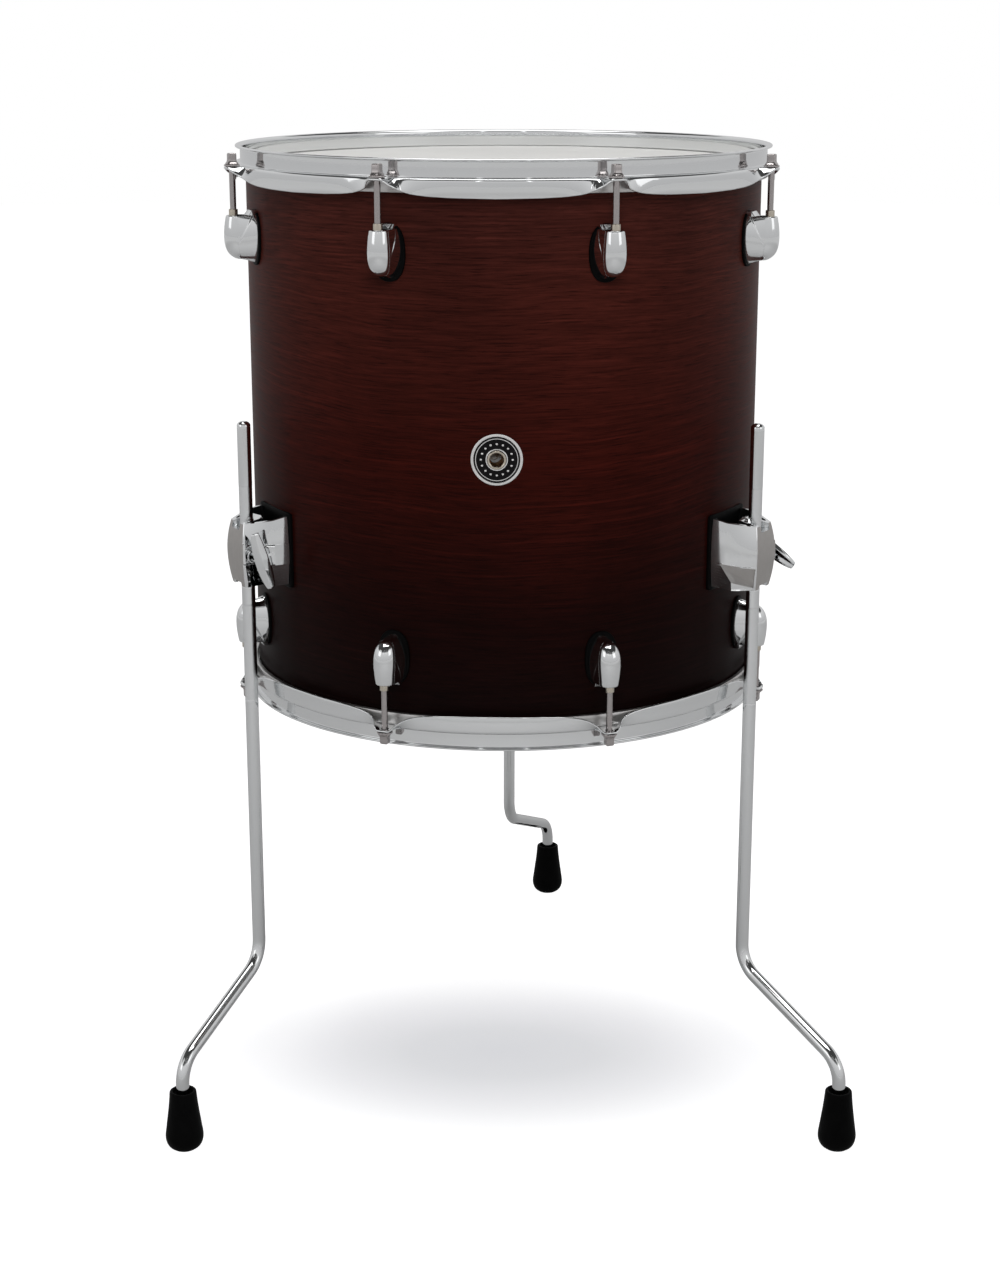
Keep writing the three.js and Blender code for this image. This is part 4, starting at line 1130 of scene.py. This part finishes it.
def clamp_pieces():
    """The moving pieces of each leg: eyebolt, wing nut, leg and foot."""
    ring, shank = eyebolt_shells()
    body, blade = wing_shells()
    leg, foot = leg_shell(), foot_shell()
    for i, azimuth in enumerate(BRACKET_AZIMUTHS):
        number = i + 1
        at_leg = station(azimuth) @ np.array(Matrix.Translation((LEG_CIRCLE, 0, 0)))
        clamp = at_leg @ np.array(Matrix.Translation((0, 0, CLAMP_HEIGHT)))
        piece(f"eyebolt_{number}_fine", [moved(ring, clamp), moved(shank, clamp)], ZINC,
              body=f"clamp_eye_{number}", stands_for=[f"clamp_eyebolt_{number}"])
        tilt = np.array(Matrix.Rotation(math.radians(WING_ANGLES[i]), 4, "Y"))
        piece(f"wing_nut_{number}_fine", [moved(body, clamp @ tilt), moved(blade, clamp @ tilt)], CHROME,
              body=f"clamp_nut_{number}", stands_for=[f"wing_nut_{number}"], crease=50)
        swivel = at_leg @ np.array(Matrix.Rotation(math.radians(LEG_AZIMUTHS[i] - azimuth), 4, "Z"))
        piece(f"bent_leg_{number}", [moved(leg, swivel)], CHROME, body=f"stand_leg_{number}",
              stands_for=[f"leg_{number}"], crease=80)
        piece(f"rubber_foot_{number}", [moved(shifted(foot, x=LEG_REACH), swivel)], RUBBER,
              body=f"stand_leg_{number}", stands_for=[f"foot_{number}"])


# Studio

def camera():
    """The photograph's camera: its place round the drum, its aim and its lens."""
    turn = math.radians(CAMERA_AZIMUTH)
    look = math.radians(CAMERA_AZIMUTH + CAMERA_YAW)
    pitch = math.radians(CAMERA_PITCH)
    data = bpy.data.cameras.new("camera")
    data.sensor_width = SENSOR
    data.lens = FOCAL_PIXELS / FRAME_PIXELS * SENSOR
    data.clip_end = 50
    obj = linked("camera", data)
    forward = Vector((-math.sin(look) * math.cos(pitch), math.cos(look) * math.cos(pitch), -math.sin(pitch)))
    obj.rotation_euler = forward.to_track_quat("-Z", "Y").to_euler()
    where = AXIS + [CAMERA_DISTANCE * math.sin(turn), -CAMERA_DISTANCE * math.cos(turn), CAMERA_HEIGHT]
    obj.location = Vector(where * MM)
    bpy.context.scene.camera = obj


# Each lamp: place, height of its aim, width, height, radiance, whether it lights and whether it is mirrored
LAMPS = {
    "left panel": ((-1.9, -1.5, 1.6), 0.6, 1.2, 1.5, 0.6, False, True),
    "right panel": ((1.9, -1.5, 1.6), 0.6, 1.2, 1.5, 0.55, False, True),
    "left strip": ((-0.35, -2.2, 2.0), 0.6, 0.05, 1.2, 1.6, False, True),
    "right strip": ((0.45, -2.2, 2.0), 0.6, 0.05, 1.2, 1.4, False, True),
    "key": ((0.05, -2.4, 2.0), 0.6, 1.0, 0.9, 7.5, True, False),
    "top": ((0.0, 0.05, 2.3), 0.7, 1.4, 1.3, 3.4, True, True),
}


def lamps():
    """Rectangular lamps whose faces are as bright as their radiance."""
    for name, (place, aim, width, height, radiance, lights, mirrored) in LAMPS.items():
        data = bpy.data.lights.new(name, "AREA")
        data.shape = "RECTANGLE"
        data.size = width
        data.size_y = height
        data.energy = radiance * math.pi * width * height
        obj = linked(name, data)
        obj.location = place
        obj.rotation_euler = (Vector((0, 0, aim)) - Vector(place)).to_track_quat("-Z", "Y").to_euler()
        obj.visible_diffuse = lights
        obj.visible_glossy = mirrored


def surroundings():
    """White to the camera; grey in reflections, dark above; and only a weak light of its own."""
    scene = bpy.context.scene
    scene.view_settings.view_transform = "Standard"
    world = bpy.data.worlds.new("studio")
    scene.world = world
    world.use_nodes = True
    tree = world.node_tree
    surround = tree.nodes["Background"]
    direction = add(tree, "ShaderNodeTexCoord").outputs["Generated"]
    height = add(tree, "ShaderNodeSeparateXYZ", [(0, direction)]).outputs["Z"]
    rays = add(tree, "ShaderNodeLightPath").outputs
    feed(tree, surround, [
        ("Color", ramp(tree, math_node(tree, "MULTIPLY_ADD", height, 0.5, 0.5), [
            (0.0, (0.30, 0.30, 0.30)),
            (0.5, (0.55, 0.55, 0.555)),
            (0.66, (0.66, 0.66, 0.665)),
            (0.76, (0.72, 0.72, 0.72)),
            (0.80, (0.07, 0.07, 0.07)),
            (1.0, (0.05, 0.05, 0.05)),
        ])),
        ("Strength", math_node(tree, "MULTIPLY_ADD", rays["Is Diffuse Ray"], -0.85, 1.0)),
    ])
    backdrop = add(tree, "ShaderNodeBackground", [("Color", (1, 1, 1, 1)), ("Strength", 1.0)]).outputs[0]
    mixed = add(tree, "ShaderNodeMixShader", [(0, rays["Is Camera Ray"]), (1, surround.outputs[0]), (2, backdrop)])
    tree.links.new(mixed.outputs[0], tree.nodes["World Output"].inputs["Surface"])


def floor_piece():
    """A level disc. To the camera it is darker in an oval under the drum and meets the white surroundings
    further out, so part of the soft shadow is painted here; in reflections it is grey."""
    reach = 9.0
    turn = full_turn(96)
    rim = np.column_stack([reach * np.cos(turn), reach * np.sin(turn), 0 * turn])
    mesh = bpy.data.meshes.new("floor")
    mesh.from_pydata(rim.tolist(), [], [list(range(len(turn)))])
    floor = linked("floor", mesh)
    material, tree, shader, place = new_material("pale floor")
    colour = ramp(tree, noise(tree, place, 3.0), [(0.3, (0.54, 0.54, 0.545)), (0.7, (0.56, 0.56, 0.56))])
    centred = vector_node(tree, "ADD", place, (0.011, 0.10, 0.0))
    from_oval = vector_node(tree, "LENGTH", vector_node(tree, "MULTIPLY", centred, (1.0, 1.7, 1.0)))
    away = math_node(tree, "DIVIDE", vector_node(tree, "LENGTH", centred), 4.0)
    shown = ramp(tree, from_oval, [
        (0.0, (0.53, 0.535, 0.56)),
        (0.08, (0.56, 0.565, 0.585)),
        (0.16, (0.68, 0.68, 0.70)),
        (0.24, (0.84, 0.84, 0.85)),
        (0.33, (0.96, 0.96, 0.965)),
        (0.45, (1, 1, 1)),
    ])
    mirrored = ramp(tree, away, [(0.1, (0.12,) * 3), (0.3, (0.24,) * 3), (0.7, (0.36,) * 3), (0.95, (0.52,) * 3)])
    seen = add(tree, "ShaderNodeLightPath").outputs["Is Camera Ray"]
    own_light = add(tree, "ShaderNodeMixRGB", [("Fac", seen), ("Color1", mirrored), ("Color2", shown)]).outputs[0]
    feed(tree, shader, [
        ("Base Color", colour),
        ("Roughness", 0.9),
        ("Specular IOR Level", 0.1),
        ("Emission Color", own_light),
        ("Emission Strength", 1),
    ])
    mesh.materials.append(material)


camera()
shell_piece()
head("batter", COATED, "frosted_film", flip=False)
head("resonant", CLEAR, "clear_film", flip=True)
hoop_piece("top_hoop", flip=False)
hoop_piece("bottom_hoop", flip=True)
end_hardware("top", flip=False)
end_hardware("bottom", flip=True)
badge_pieces()
bracket_pieces()
clamp_pieces()
surroundings()
lamps()
floor_piece()
